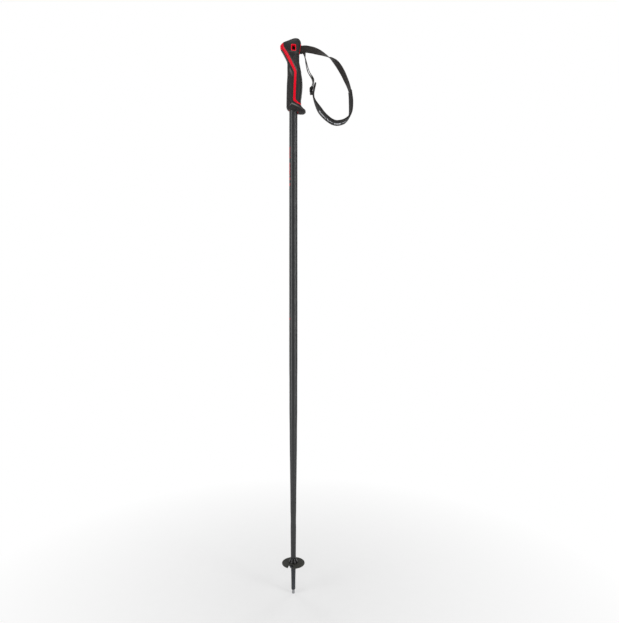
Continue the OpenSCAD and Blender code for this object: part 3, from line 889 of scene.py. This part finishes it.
# tab: a narrow loop from the pad round the lowest bar
TAB_T, TAB_R = 0.8, 1.86
tab_route = [[42.4, 0, LOW_DROP + 1.95, 0], [40.8, 0, LOW_DROP + 1.95, 0], [39.2, 0, LOW_DROP + 1.92, 0]]
for t in np.linspace(math.pi / 2, 23 * math.pi / 12, 15):
    tab_route.append([LOW_X + TAB_R * math.cos(t), 0, LOW_DROP + TAB_R * math.sin(t), 0])
tab_route += [[40.4, 0, LOW_DROP + 0.75, 0], [42.4, 0, LOW_DROP + 1.1, 0]]
tab_band = Band(tab_route, 0.3)
half = (SLIDER_W - 2 * RAIL_W - 1) / 2
ring = flat_ring(half - 0.3, [(half, 0)], count=9)
s = tab_band.s[:, None]
thick = TAB_T / 2 * (1 + 0.06 * np.cos(2 * math.pi * s / 0.9))
rings = tab_band.at(s + 0 * ring[:, 0], ring[:, 0], ring[:, 1] * thick)
stands_for(woven_piece("slider_tab_loop", rings, s, ring[:, 0]), "slider_tab", "strap")


# ---------------- grip

# height below the top, front edge, back edge, half width
GRIP = np.array([
    [0, 4, 7.6, 2.2], [0.4, 2, 9.6, 4.4], [1.3, -0.8, 11.8, 6.8], [3, -5, 14, 9.2], [5, -9.4, 15.4, 11],
    [7.6, -15, 16.4, 12.6], [12, -25.6, 17.1, 14.2], [17, -29, 16.5, 14.8], [22, -28.4, 15.6, 15],
    [27, -25.2, 14.8, 15], [34, -21.4, 13, 14.4], [42, -17.2, 12.5, 13.6], [50, -13.8, 12.7, 13],
    [57, -13, 13.8, 13], [65, -13.3, 15.3, 13.4], [77, -13.2, 17.6, 14.2], [89, -13.8, 19.4, 15],
    [101, -14.5, 20, 15.2], [113, -14.8, 19.3, 14.8], [125, -15, 18, 14.2], [136, -15.2, 16.7, 13.8],
    [143, -15.2, 17.2, 13.8], [148, -15, 19.2, 14], [151.5, -14, 22.6, 14.2], [155, -10, 26.5, 14],
    [158, 0, 27, 13], [160.5, 15, 24, 8],
])
STRIPE_PALM = np.array([
    [-30, 9], [-21.8, 10.3], [-21.6, 14], [-21, 20], [-19.2, 24], [-14.8, 32], [-9.8, 41], [-4.7, 51],
    [-0.3, 60], [5.2, 71], [7.1, 76], [7.1, 80], [6.3, 100], [5.5, 120], [5.1, 134], [5.5, 136],
    [9.5, 140], [14.3, 141.4], [17.2, 141.8],
])
STRIPE_FINGER = np.array([
    [-27.5, 24], [-24.5, 25.5], [-22.4, 29], [-20.3, 32], [-15.4, 41], [-10.1, 51], [-5.7, 60],
    [-0.2, 71], [1.9, 76], [2.3, 80], [1.5, 100], [0.7, 120], [0, 134], [0, 136.5], [0.6, 138],
    [2.3, 140], [8.3, 143.7], [17.3, 145.6], [40, 145.8],
])
INSET_LEFT = np.array([[11.5, 36.4], [8, 39.5], [2, 42], [-1.6, 44.4], [-2.6, 46.6], [-2.3, 49], [1, 55.5],
                       [5.5, 64], [9, 71.5], [12, 74]])
# lowest part of the grip, and how square its sections are
GRIP_END = GRIP[-1, 0]
POWER = 0.88


def section(drop):
    """Middle, half depth and half width of the grip at a height below the top."""
    front, back, half = (pchip(GRIP[:, 0], GRIP[:, k], drop) for k in (1, 2, 3))
    return (front + back) / 2, (back - front) / 2, half


def skin(theta, drop):
    """Point on the grip at an angle round it: 0 at the back edge, pi at the front."""
    middle, rx, ry = section(drop)
    c, s = np.cos(theta), np.sin(theta)
    return points(middle + rx * signed_power(c, POWER), ry * signed_power(s, POWER), TOP - drop)


def skin_out(theta, drop):
    """Outward direction on the grip."""
    e, h = 0.02, 0.3
    low, high = np.clip(drop - h, 0, GRIP_END), np.clip(drop + h, 0, GRIP_END)
    n = np.cross(skin(theta + e, drop) - skin(theta - e, drop), skin(theta, low) - skin(theta, high))
    return n / np.maximum(np.linalg.norm(n, axis=-1, keepdims=True), 1e-9)


def edge_angle(x, drop):
    """Angle at which the grip's surface passes the reach x."""
    middle, rx, _ = section(drop)
    q = np.clip((x - middle) / rx, -1, 1)
    return np.arccos(signed_power(q, 1 / POWER))


def side_y(x, drop):
    """Half width of the grip at a point of its side view."""
    middle, rx, ry = section(drop)
    c = np.clip(np.abs((x - middle) / rx), 0, 0.999) ** (1 / POWER)
    return ry * np.sqrt(1 - c**2) ** POWER


def back_x(y, drop):
    """Reach of the grip's back at a point across it."""
    middle, rx, ry = section(drop)
    s = np.clip(np.abs(y / ry), 0, 0.999) ** (1 / POWER)
    return middle + rx * np.sqrt(1 - s**2) ** POWER


def outline_distance(x, drop, line):
    """Distance in the side view from points to a line of (reach, drop)."""
    best = np.full(np.shape(x), 1e9)
    for (ax, ay), (bx, by) in zip(line[:-1], line[1:]):
        dx, dy = bx - ax, by - ay
        t = np.clip(((x - ax) * dx + (drop - ay) * dy) / (dx * dx + dy * dy), 0, 1)
        best = np.minimum(best, np.hypot(x - ax - t * dx, drop - ay - t * dy))
    return best


# rolled edge: how far in from the edge each line of points is, and how far below the surface
ROLL = [(0, -1.5), (0, -0.7), (0.05, -0.32), (0.18, -0.12), (0.4, -0.02), (0.65, 0)]


def cover_grid(edge_x, drops, back, shape, cols=150, open_ends=(True, True)):
    """Cover over one side of the grip between its edge lines, with rolled edges.

    back True covers the palm side of the edge, False the finger side. open_ends says whether the first
    and the last row are rolled too. shape gives the height off the surface from (x, drop) and the named
    fields."""
    steps, downs = np.array(ROLL).T
    lead, tail = open_ends
    inner = [d for d in drops if (not lead or d > drops[0] + 0.9) and (not tail or d < drops[-1] - 0.9)]
    first = (drops[0] + steps, downs) if lead else ([], [])
    last = (drops[-1] - steps[::-1], downs[::-1]) if tail else ([], [])
    drop = np.concatenate([first[0], inner, last[0]])[:, None]
    sink = np.concatenate([first[1], 0 * np.array(inner), last[1]])[:, None]
    limit = edge_angle(edge_x(drop), drop)
    half = limit if back else math.pi - limit
    centre = 0.0 if back else math.pi
    gap = smoothstep(math.pi - half, 0.0, 0.12)
    chord = skin(centre + half - 0.02, drop) - skin(centre + half - 0.06, drop)
    speed = np.maximum(np.linalg.norm(chord, axis=-1) / 0.04, 4.0)
    shrink = np.minimum(1, half * speed / 2.2)
    left = -half + steps / speed * shrink
    right = half - steps[::-1] / speed * shrink
    t = np.linspace(0, 1, cols)[1:-1]
    middle = left[:, -1:] + (right[:, :1] - left[:, -1:]) * t
    theta = centre + np.concatenate([left, middle, right], axis=1)
    drop = np.broadcast_to(drop, theta.shape)
    fall = np.concatenate([downs, 0 * t, downs[::-1]]) * gap * shrink
    base = skin(theta, drop)
    extra, fields = shape(base[..., 0], drop)
    return base + (np.minimum(fall, sink) + extra)[..., None] * skin_out(theta, drop), fields


WINDOW_X, WINDOW_DROP = 0.9, 25.0
WINDOW_HALF = (3.5, 5.25)
SLOT_HALF = (3.5, 8.5)
RIM_W = 1.8


def in_box(a, b, centre, half, grow):
    """Inside a round-cornered box in two coordinates."""
    da, db = np.abs(a - centre[0]) - half[0] - grow + 1.0, np.abs(b - centre[1]) - half[1] - grow + 1.0
    return np.hypot(np.maximum(da, 0), np.maximum(db, 0)) < 1.0


INSET_LINE = np.vstack([[40, 35.2], INSET_LEFT, [40, 75.4]])


def palm_shape(x, drop):
    """Palm cover with a groove round the inset, a bevel along the stripe and a brow below the head."""
    d = outline_distance(x, drop, INSET_LINE)
    groove = -0.55 * bell(d, 0.42)
    edge = outline_distance(x, drop, STRIPE_PALM)
    along_slope = step_up_down(drop, 26, 36, 68, 78)
    bevel = -0.75 * np.clip(1 - edge / 3.6, 0, 1) * along_slope
    brow = 0.45 * bell(drop - 34.5, 1.7) * step_up_down(x, -14, -4, 4, 12)
    # painted highlight along the stripe's bevel and on the brow below the head
    facet_highlight = 0.7 * step_up_down(edge, 0.5, 1.2, 2.4, 3.9) * along_slope * smoothstep(drop, 38, 58)
    facet_highlight = facet_highlight + 0.25 * bell(drop - 33.5, 2.2) * step_up_down(x, -14, -4, 6, 13)
    # paler, glossier along the stripe edge and at the top of the grip
    pale_gloss = np.exp(-edge / 0.8) * 0.35 + np.exp(-np.abs(drop - 4) / 5) * 0.2
    return groove + bevel + brow, {"pale_gloss": pale_gloss, "facet_highlight": facet_highlight, "knurl": 0 * x}


# top of the bevel under the stripe, from the parting line at the front to the guard
BEVEL_TOP = np.array([[-30, 145], [-6.8, 145], [-6.6, 146.3], [-3, 142.7], [40, 162]])
# upper end of the finger panel: a slanted line in the side view
PANEL_FROM, PANEL_TO = (-8.2, 65.6), (-1.4, 78.2)


def finger_shape(x, drop):
    """Recessed finger panel with a broad sloping face above and a bevel below, both with painted highlights,
    shallow ribs and a knurled strip.
    """
    dx, dy = PANEL_TO[0] - PANEL_FROM[0], PANEL_TO[1] - PANEL_FROM[1]
    slope = ((drop - PANEL_FROM[1]) * dx - (x - PANEL_FROM[0]) * dy) / math.hypot(dx, dy)
    below = drop - np.interp(x, BEVEL_TOP[:, 0], BEVEL_TOP[:, 1])
    front = 1 - smoothstep(x, -7.2, -6.5)
    share = np.minimum.reduce([slope / 4.6, (-1.25 - x) / 0.8, -below / 0.8, (drop - 62.5) / 3.0])
    deep = np.clip(share, 0, 1)
    panel = -(0.2 + 0.75 * smoothstep(x, -12, -5)) * deep
    in_panel = smoothstep(share, 0.9, 1.0)
    ribs = 0.1 * np.cos(2 * math.pi * (x + 1.9) / 1.35) * smoothstep(x, -6.6, -6.0) * in_panel
    rise = np.clip((below + 0.2) / 3.4, 0, 1) * (1 - smoothstep(below, 3.4, 9.0))
    bevel = 0.75 * rise * (1 - front) * (1 - smoothstep(x, 8, 18))
    parting = -0.3 * bell(below, 0.3) * front
    # painted highlight on the sloping face at the panel's top and on the bevel under the stripe
    top_facet_highlight = step_up_down(slope, 0, 0.5, 4.0, 5.0) * step_up_down(x, -8.6, -7.4, -1.6, -1.1)
    top_facet_highlight = top_facet_highlight * smoothstep(drop, 64, 68) * (1 - 0.5 * smoothstep(drop, 68, 80))
    low_facet_highlight = step_up_down(below, 0, 0.4, 3.0, 3.9) * (1 - front) * (1 - 0.75 * smoothstep(x, 0, 17))
    knurl = step_up_down(x, -11.4, -10.9, -6.9, -6.4) * smoothstep(drop, 71, 74) * in_panel
    edge = outline_distance(x, drop, STRIPE_FINGER)
    # paler, glossier along the stripe edge and over the panel's ribs
    pale_gloss = np.exp(-edge / 0.8) * 0.3 + 0.2 * in_panel * smoothstep(x, -6.4, -5.8)
    return panel + ribs + bevel + parting, {"pale_gloss": pale_gloss, "facet_highlight": top_facet_highlight + low_facet_highlight, "knurl": knurl}


def cover_piece(name, node, grid, material, fields, cap=None):
    """Cover with the head's holes left open; cap (top, point) closes its first or last row in a fan."""
    r, c = grid.shape[:2]
    verts = grid.reshape(-1, 3)
    faces = grid_faces(r, c, flip=True)
    faces = faces[~head_holes(verts[faces].mean(axis=1))].tolist()
    fields = {key: np.broadcast_to(values, (r, c)).ravel() for key, values in fields.items()}
    if cap is not None:
        top, point = cap
        verts = np.vstack([verts, point])
        fields = {key: np.append(values, 0) for key, values in fields.items()}
        start = 0 if top else (r - 1) * c
        for k in range(start, start + c - 1):
            faces.append([k, k + 1, r * c] if top else [r * c, k + 1, k])
    stands_for(mesh_piece(name, verts, faces, material, fields=fields), node, "pole")


def head_holes(p):
    """Points over the window on either side of the head, or over the slot in its back."""
    grow = RIM_W - 0.7
    drop = TOP - p[:, 2]
    window = in_box(p[:, 0], drop, (WINDOW_X, WINDOW_DROP), WINDOW_HALF, grow)
    slot = in_box(p[:, 1], drop, (0, SLOT_DROP), SLOT_HALF, grow) & (p[:, 0] > 6)
    return window | slot


palm_edge = lambda drop: np.interp(drop, STRIPE_PALM[:, 1], STRIPE_PALM[:, 0])
finger_edge = lambda drop: np.interp(drop, STRIPE_FINGER[:, 1], STRIPE_FINGER[:, 0])

palm_drops = np.concatenate([
    [0, 0.12, 0.3, 0.6, 1], np.arange(1.5, 9.6, 0.5), np.arange(9.6, 13.2, 0.15), np.arange(13.2, 134, 0.6),
    np.arange(134, 141.7, 0.2), [141.75],
])
verts, fields = cover_grid(palm_edge, palm_drops, True, palm_shape, cols=170, open_ends=(False, True))
crown = verts[0].mean(axis=0) + [0, 0, 0.35]
cover_piece("grip_palm_cover", "palm_cover", verts, M_SOFT, fields, cap=(True, crown))

finger_drops = np.concatenate([
    np.arange(24.7, 134, 0.6), np.arange(134, 149, 0.2), np.arange(149.2, GRIP_END, 0.6), [GRIP_END],
])
verts, fields = cover_grid(finger_edge, finger_drops, False, finger_shape, cols=170, open_ends=(True, False))
foot = verts[-1].mean(axis=0) - [0, 0, 0.3]
cover_piece("grip_finger_cover", "finger_cover", verts, M_FINGER, fields, cap=(False, foot))


# textured patch, a little proud of the palm cover
def inset_shape(x, drop):
    return 0.1 + 0.32 * smoothstep(outline_distance(x, drop, INSET_LINE), 0.2, 1.4), {"pale_gloss": 0 * x}


inset_edge = lambda drop: np.interp(drop, INSET_LEFT[:, 1], INSET_LEFT[:, 0]) + 0.35
inset_drops = np.concatenate([[35.9], np.arange(36.4, 74, 0.5), [74.6]])
verts, fields = cover_grid(inset_edge, inset_drops, True, inset_shape, cols=110)
cover_piece("grip_palm_inset", "palm_inset", verts, M_INSET, fields)

# hard core: the body under the covers, shown as the stripe and the nose, with the rims and the bottom ring
core = Pile()
drop = np.concatenate([np.arange(6.5, 134, 0.7), np.arange(134, 148, 0.25), [149, 150]])[:, None]
theta = turns(220)[None, :]
drop, theta = np.broadcast_arrays(drop, theta)
base = skin(theta, drop)
x = base[..., 0]
inside = np.minimum(palm_edge(drop) - x, x - np.where(drop > 24.5, finger_edge(drop), -99))
crest = 0.12 * bell(inside - 2.2, 1.4)
height = -0.32 + crest - 1.6 * (1 - smoothstep(inside, -1.2, -0.5))
height = np.where(drop > 146, -2.5, height)
surface = base + height[..., None] * skin_out(theta, drop)
faces = grid_faces(*drop.shape, wrap_cols=True, flip=True)
centre = surface.reshape(-1, 3)[faces].mean(axis=1)
# the quads split along the stripe on both sides of the grip, so its edges stay clean
near = centre[:, 1] < 0
faces[near] = np.roll(faces[near], 1, axis=1)
core.add(surface, faces[~head_holes(centre)])


def frame_outline(half, grow, corner, count=96):
    """Closed round-cornered outline, the same count of points whatever its size."""
    size = np.array(half) + grow
    t = turns(count)
    ray = np.stack([np.cos(t), np.sin(t)], axis=1)
    point = ray / np.max(np.abs(ray) / size, axis=1, keepdims=True)
    middle = np.sign(ray) * (size - corner)
    in_corner = np.all(np.abs(point) > size - corner, axis=1, keepdims=True)
    return np.where(in_corner, middle + unit(point - middle) * corner, point).T


# rims: grow from the hole, rise off the surface
RIM = [(1.8, -1.0), (1.8, -0.1), (1.68, 0.16), (1.4, 0.3), (0.5, 0.3), (0.2, 0.2), (0.03, 0), (0, -0.3)]
SLOT_RIM = [(grow, min(rise, 0.1)) for grow, rise in RIM]
WALL = -1.2
for side in (-1, 1):
    rings = []
    for grow, rise in RIM + [(0, -1.5), (0, -3), (0, -5.8)]:
        x, up = frame_outline(WINDOW_HALF, grow, 0.7 + grow * 0.7)
        x, drop = WINDOW_X + x, WINDOW_DROP - up
        level = side_y(x, drop) if rise > WALL else side_y(WINDOW_X, WINDOW_DROP)
        rings.append(points(x, side * (level + rise), TOP - drop))
    core.add_rings(rings, flip=side > 0)
rings = []
for grow, rise in SLOT_RIM + [(0, -1.5), (0, -3.5), (0, -6.5)]:
    y, up = frame_outline(SLOT_HALF, grow, 0.9 + grow * 0.7)
    drop = SLOT_DROP - up
    level = back_x(y, drop) if rise > WALL else back_x(0, SLOT_DROP)
    rings.append(points(level + rise, y, TOP - drop))
core.add_rings(rings)

# ring round the tube under the slanted foot: radius, depth below the foot
FOOT_RING = [
    (9.05, -6), (9.05, 0.1), (9.2, 0.35), (9.5, 0.45), (9.9, 0.35), (10.15, 0.1), (10.2, -0.4), (10.2, -4),
]
FOOT_LINE = np.array([[-11, 154.2], [-8, 155.6], [0, 157.9], [8, 159.3], [12, 160.1]])
angle = turns(96)
rings = []
for r, depth in FOOT_RING:
    x, y = r * np.cos(angle), r * np.sin(angle)
    drop = np.interp(x, *FOOT_LINE.T) + depth - 1.6 * np.sin(angle) ** 2
    rings.append(points(x, y, TOP - drop))
core.add_rings(rings)
stands_for(core.piece("grip_hard_core", M_RED), "grip_core", "pole")


# ---------------- tube

# height, share of the way from the lowest radius to the full one
TAPER = np.array([
    [77.2, 0], [110, 0.07], [141, 0.16], [156, 0.1], [179, 0.22], [224, 0.33], [247, 0.42], [285, 0.55],
    [308, 0.65], [361, 0.75], [391, 0.86], [467, 0.91], [483, 0.98], [505, 1],
])
LOW_R, TUBE_R, TUBE_BOTTOM = 5.5, 9.0, 77.2
heights = np.concatenate([np.arange(TUBE_BOTTOM + 0.8, 510, 2.5), np.arange(520, 1160, 20)])
radii = LOW_R + (TUBE_R - LOW_R) * pchip(*TAPER.T, heights)
low_end = [(4.7, TUBE_BOTTOM + 6), (4.7, TUBE_BOTTOM + 0.1), (5.1, TUBE_BOTTOM), (5.38, TUBE_BOTTOM + 0.2)]
tube = lathe("tube_lacquered", [*low_end, *zip(radii, heights), (TUBE_R - 1, heights[-1])], M_TUBE)
stands_for(tube, "shaft", "pole")


def tube_marks(name, marks, material):
    """Printed marks on the tube: (bottom, top, first angle, last angle), in degrees from the camera side."""
    pile = Pile()
    for z0, z1, a0, a1 in marks:
        z = np.linspace(z0, z1, int((z1 - z0) / 4) + 2)[:, None]
        a = np.radians(np.linspace(a0, a1, 8))[None, :]
        r = np.interp(z, heights, radii) + 0.04
        grid = points(-r * np.sin(a), -r * np.cos(a), z)
        pile.add(grid, grid_faces(*grid.shape[:2], flip=True))
    piece = pile.piece(name, material)
    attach(piece, "pole")


red_marks = [(941 + 2.5 * i, 942.6 + 2.5 * i, 46, 78) for i in range(10)]
red_marks += [(903, 931, 50, 72), (894, 900, 46, 78), (881, 886.5, 46, 78), (592, 596, 46, 78)]
tube_marks("tube_marks_red", red_marks, M_MARK_RED)
pale_marks = [(974 + 3.0 * i, 975.4 + 3.0 * i, -74, -64) for i in range(15)]
pale_marks += [(1012, 1016, 66, 76)]
tube_marks("tube_marks_pale", pale_marks, M_MARK_PALE)


# ---------------- basket, ferrule and tip

DISC_Z, DISC_T, RIM_R, DOME = 66.4, 1.6, 24.5, 0.9
NOTCH_W, NOTCH_L, NOTCH_TURN = 10.0, 13.4, 254
low, high = DISC_Z - DISC_T / 2, DISC_Z + DISC_T / 2
disc_outline = rounded([
    (7.25, low), (12, low - 0.1), (19.6, low - DOME * 0.55), (20.2, low - DOME * 0.55 - 0.5),
    (RIM_R - 0.6, low - DOME - 0.35), (RIM_R, low - DOME + 0.2), (RIM_R, high - DOME - 0.1),
    (RIM_R - 1.6, high - DOME + 0.22), (RIM_R - 2.4, high - DOME - 0.02), (16, high - DOME * 0.25),
    (11.4, high - 0.05), (7.25, high),
], 0.5)
disc = lathe("basket_disc_moulded", disc_outline, M_DISC, sides=180)

# the notch: a round-ended slot cut in from the rim, then a small bevel on every sharp edge
a = np.linspace(math.pi / 2, 3 * math.pi / 2, 25)
half = NOTCH_W / 2
start = RIM_R - NOTCH_L + half
notch = np.vstack([
    np.stack([start + half * np.cos(a), half * np.sin(a)], axis=1),
    [[RIM_R + 4, -half - 0.6], [RIM_R + 4, half + 0.6]],
])
c, s = math.cos(math.radians(NOTCH_TURN)), math.sin(math.radians(NOTCH_TURN))
notch = notch @ np.array([[c, s], [-s, c]])
levels = [np.c_[notch, np.full(len(notch), z)] for z in (low - 6, high + 6)]
cutter = mesh_piece("notch_cutter", np.vstack(levels), tube_faces(2, len(notch)), M_DISC, smooth=False)
for kind, settings in (
    ("BOOLEAN", {"object": cutter, "operation": "DIFFERENCE", "solver": "EXACT"}),
    ("BEVEL", {"width": 0.22 * MM, "segments": 2, "limit_method": "ANGLE", "angle_limit": math.radians(50)}),
):
    modifier = disc.modifiers.new(kind, kind)
    for key, value in settings.items():
        setattr(modifier, key, value)
mesh = bpy.data.meshes.new_from_object(disc.evaluated_get(bpy.context.evaluated_depsgraph_get()))
disc.modifiers.clear()
disc.data = mesh
bpy.data.objects.remove(cutter)
disc.data.set_sharp_from_angle(angle=math.radians(38))
stands_for(disc, "basket_disc", "basket")

NECK_R, HUB_R = 4.68, 9.8
hub_top = TUBE_BOTTOM - 1.2
hub_outline = rounded([
    (NECK_R, 62.75), (7.2, 62.75), (7.2, low + 0.1), (7.2, high + 0.02), (HUB_R - 1.2, high + 0.02),
    (HUB_R - 1.1, high + 0.8), (HUB_R, high + 0.95), (HUB_R + 0.02, high + 1.5), (HUB_R - 0.5, high + 2.5),
    (7.9, high + 4.2), (6.4, high + 6.3), (5.6, high + 8), (5.4, hub_top - 0.4), (5.1, hub_top),
    (NECK_R, hub_top),
], 0.45)
stands_for(lathe("basket_hub_glossy", hub_outline, M_HUB, sides=120), "basket_hub", "basket")

ferrule_outline = rounded([
    (2.2, 20), (2.2, 9.4), (2.4, 9), (3.85, 9), (4.35, 9.6), (4.38, 24), (4.72, 40), (5.1, 53.6), (5.4, 55),
    (6.6, 55.6), (8, 57.1), (8.75, 59.2), (8.7, 60.8), (7.9, 62.3), (5.2, 62.6), (4.6, 62.7), (4.6, 77.1),
    (4.4, 77.2),
], 0.6)
stands_for(lathe("tip_ferrule_moulded", ferrule_outline, M_FERRULE), "tip_ferrule", "pole")

tip_outline = rounded([
    (0.02, 2.1), (1.2, 1.4), (2.1, 0.25), (2.45, 0), (2.72, 0.12), (2.8, 0.5), (2.8, 8.8),
    (2.65, 9), (2.15, 9), (0.02, 9),
], 0.2)
stands_for(lathe("tip_ground_steel", tip_outline, M_STEEL, sides=64), "steel_tip", "pole")

# pieces whose CAD shape is right and only get their finish
for node, material in (("strap_block", M_BLOCK), ("strap_block_pin", M_STEEL)):
    for material_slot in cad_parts[node].material_slots:
        material_slot.material = material


# ---------------- studio

def area_light(name, place, aim, size, power, tall=None):
    """Soft box at a place, turned to its aim; square unless it is given a height."""
    data = bpy.data.lights.new(name, "AREA")
    data.shape = "RECTANGLE"
    data.size, data.size_y = size, tall or size
    data.energy = power
    lamp = bpy.data.objects.new(name, data)
    lamp.location = place
    lamp.rotation_euler = (Vector(aim) - Vector(place)).to_track_quat("-Z", "Y").to_euler()
    bpy.context.scene.collection.objects.link(lamp)


area_light("SoftLeft", (-1.3, -0.85, 0.75), (0, 0, 0.65), 0.75, 15, tall=2.2)
area_light("SoftRight", (1.3, -0.95, 0.75), (0, 0, 0.65), 0.42, 14, tall=2.2)
area_light("Top", (0.1, -0.7, 2.3), (0, 0, 0.8), 1.0, 8)
area_light("RearLeft", (-0.9, 1.2, 1.0), (0, 0, 0.7), 0.5, 6, tall=1.8)
area_light("RearRight", (0.9, 1.2, 1.0), (0, 0, 0.7), 0.5, 6, tall=1.8)

world = bpy.data.worlds.new("Studio")
bpy.context.scene.world = world
world.use_nodes = True
tree = world.node_tree
tree.nodes.clear()
kinds = ("OutputWorld", "Background", "Background", "LightPath", "MixShader")
output, seen, fill, ray, choose = (tree.nodes.new("ShaderNode" + kind) for kind in kinds)
seen.inputs["Color"].default_value = (1, 1, 1, 1)
fill.inputs["Color"].default_value = (1, 1, 1, 1)
fill.inputs["Strength"].default_value = 0.16
tree.links.new(ray.outputs["Is Camera Ray"], choose.inputs[0])
tree.links.new(fill.outputs[0], choose.inputs[1])
tree.links.new(seen.outputs[0], choose.inputs[2])
tree.links.new(choose.outputs[0], output.inputs["Surface"])

# pale floor that fades into the white of the backdrop away from the tip
FLOOR_Z, FLOOR_SIDES = -0.05, 96
FLOOR_RINGS = np.array([1, 400, 1200, 3000, 12000])[:, None]
a = turns(FLOOR_SIDES)
rings = points(FLOOR_RINGS * np.cos(a), FLOOR_RINGS * np.sin(a), FLOOR_Z)
floor_verts = np.vstack([rings.reshape(-1, 3), [[0, 0, FLOOR_Z]]])
floor_faces = grid_faces(*rings.shape[:2], wrap_cols=True, flip=True).tolist()
floor_faces += [[k, (k + 1) % FLOOR_SIDES, len(floor_verts) - 1] for k in range(FLOOR_SIDES)]
look = Look("Floor", Roughness=0.9)
x, y, _ = look.xyz()
away = look.math("SQRT", look.add(look.times(x, x), look.times(y, y)))
grain = look.noise(40, 3, 0.6)
look.set("Base Color", look.ramp(grain, [(0.2, (0.86, 0.86, 0.86)), (0.8, (0.9, 0.9, 0.9))]))
glow = look.node("Emission", {"Color": (1, 1, 1, 1), "Strength": 1.0})
direct = look.node("LightPath").outputs["Is Camera Ray"]
share = look.times(look.remap(away, 0.1, 0.75, 0.55, 1.0), direct)
blend = look.node("MixShader", {0: share, 1: look.shader.outputs[0], 2: glow.outputs[0]})
look.tree.links.new(blend.outputs[0], look.tree.nodes["Material Output"].inputs["Surface"])
floor = mesh_piece("studio_floor", floor_verts, floor_faces, look.material, smooth=False)

view = bpy.context.scene.view_settings
view.view_transform = "Standard"
view.look = "None"
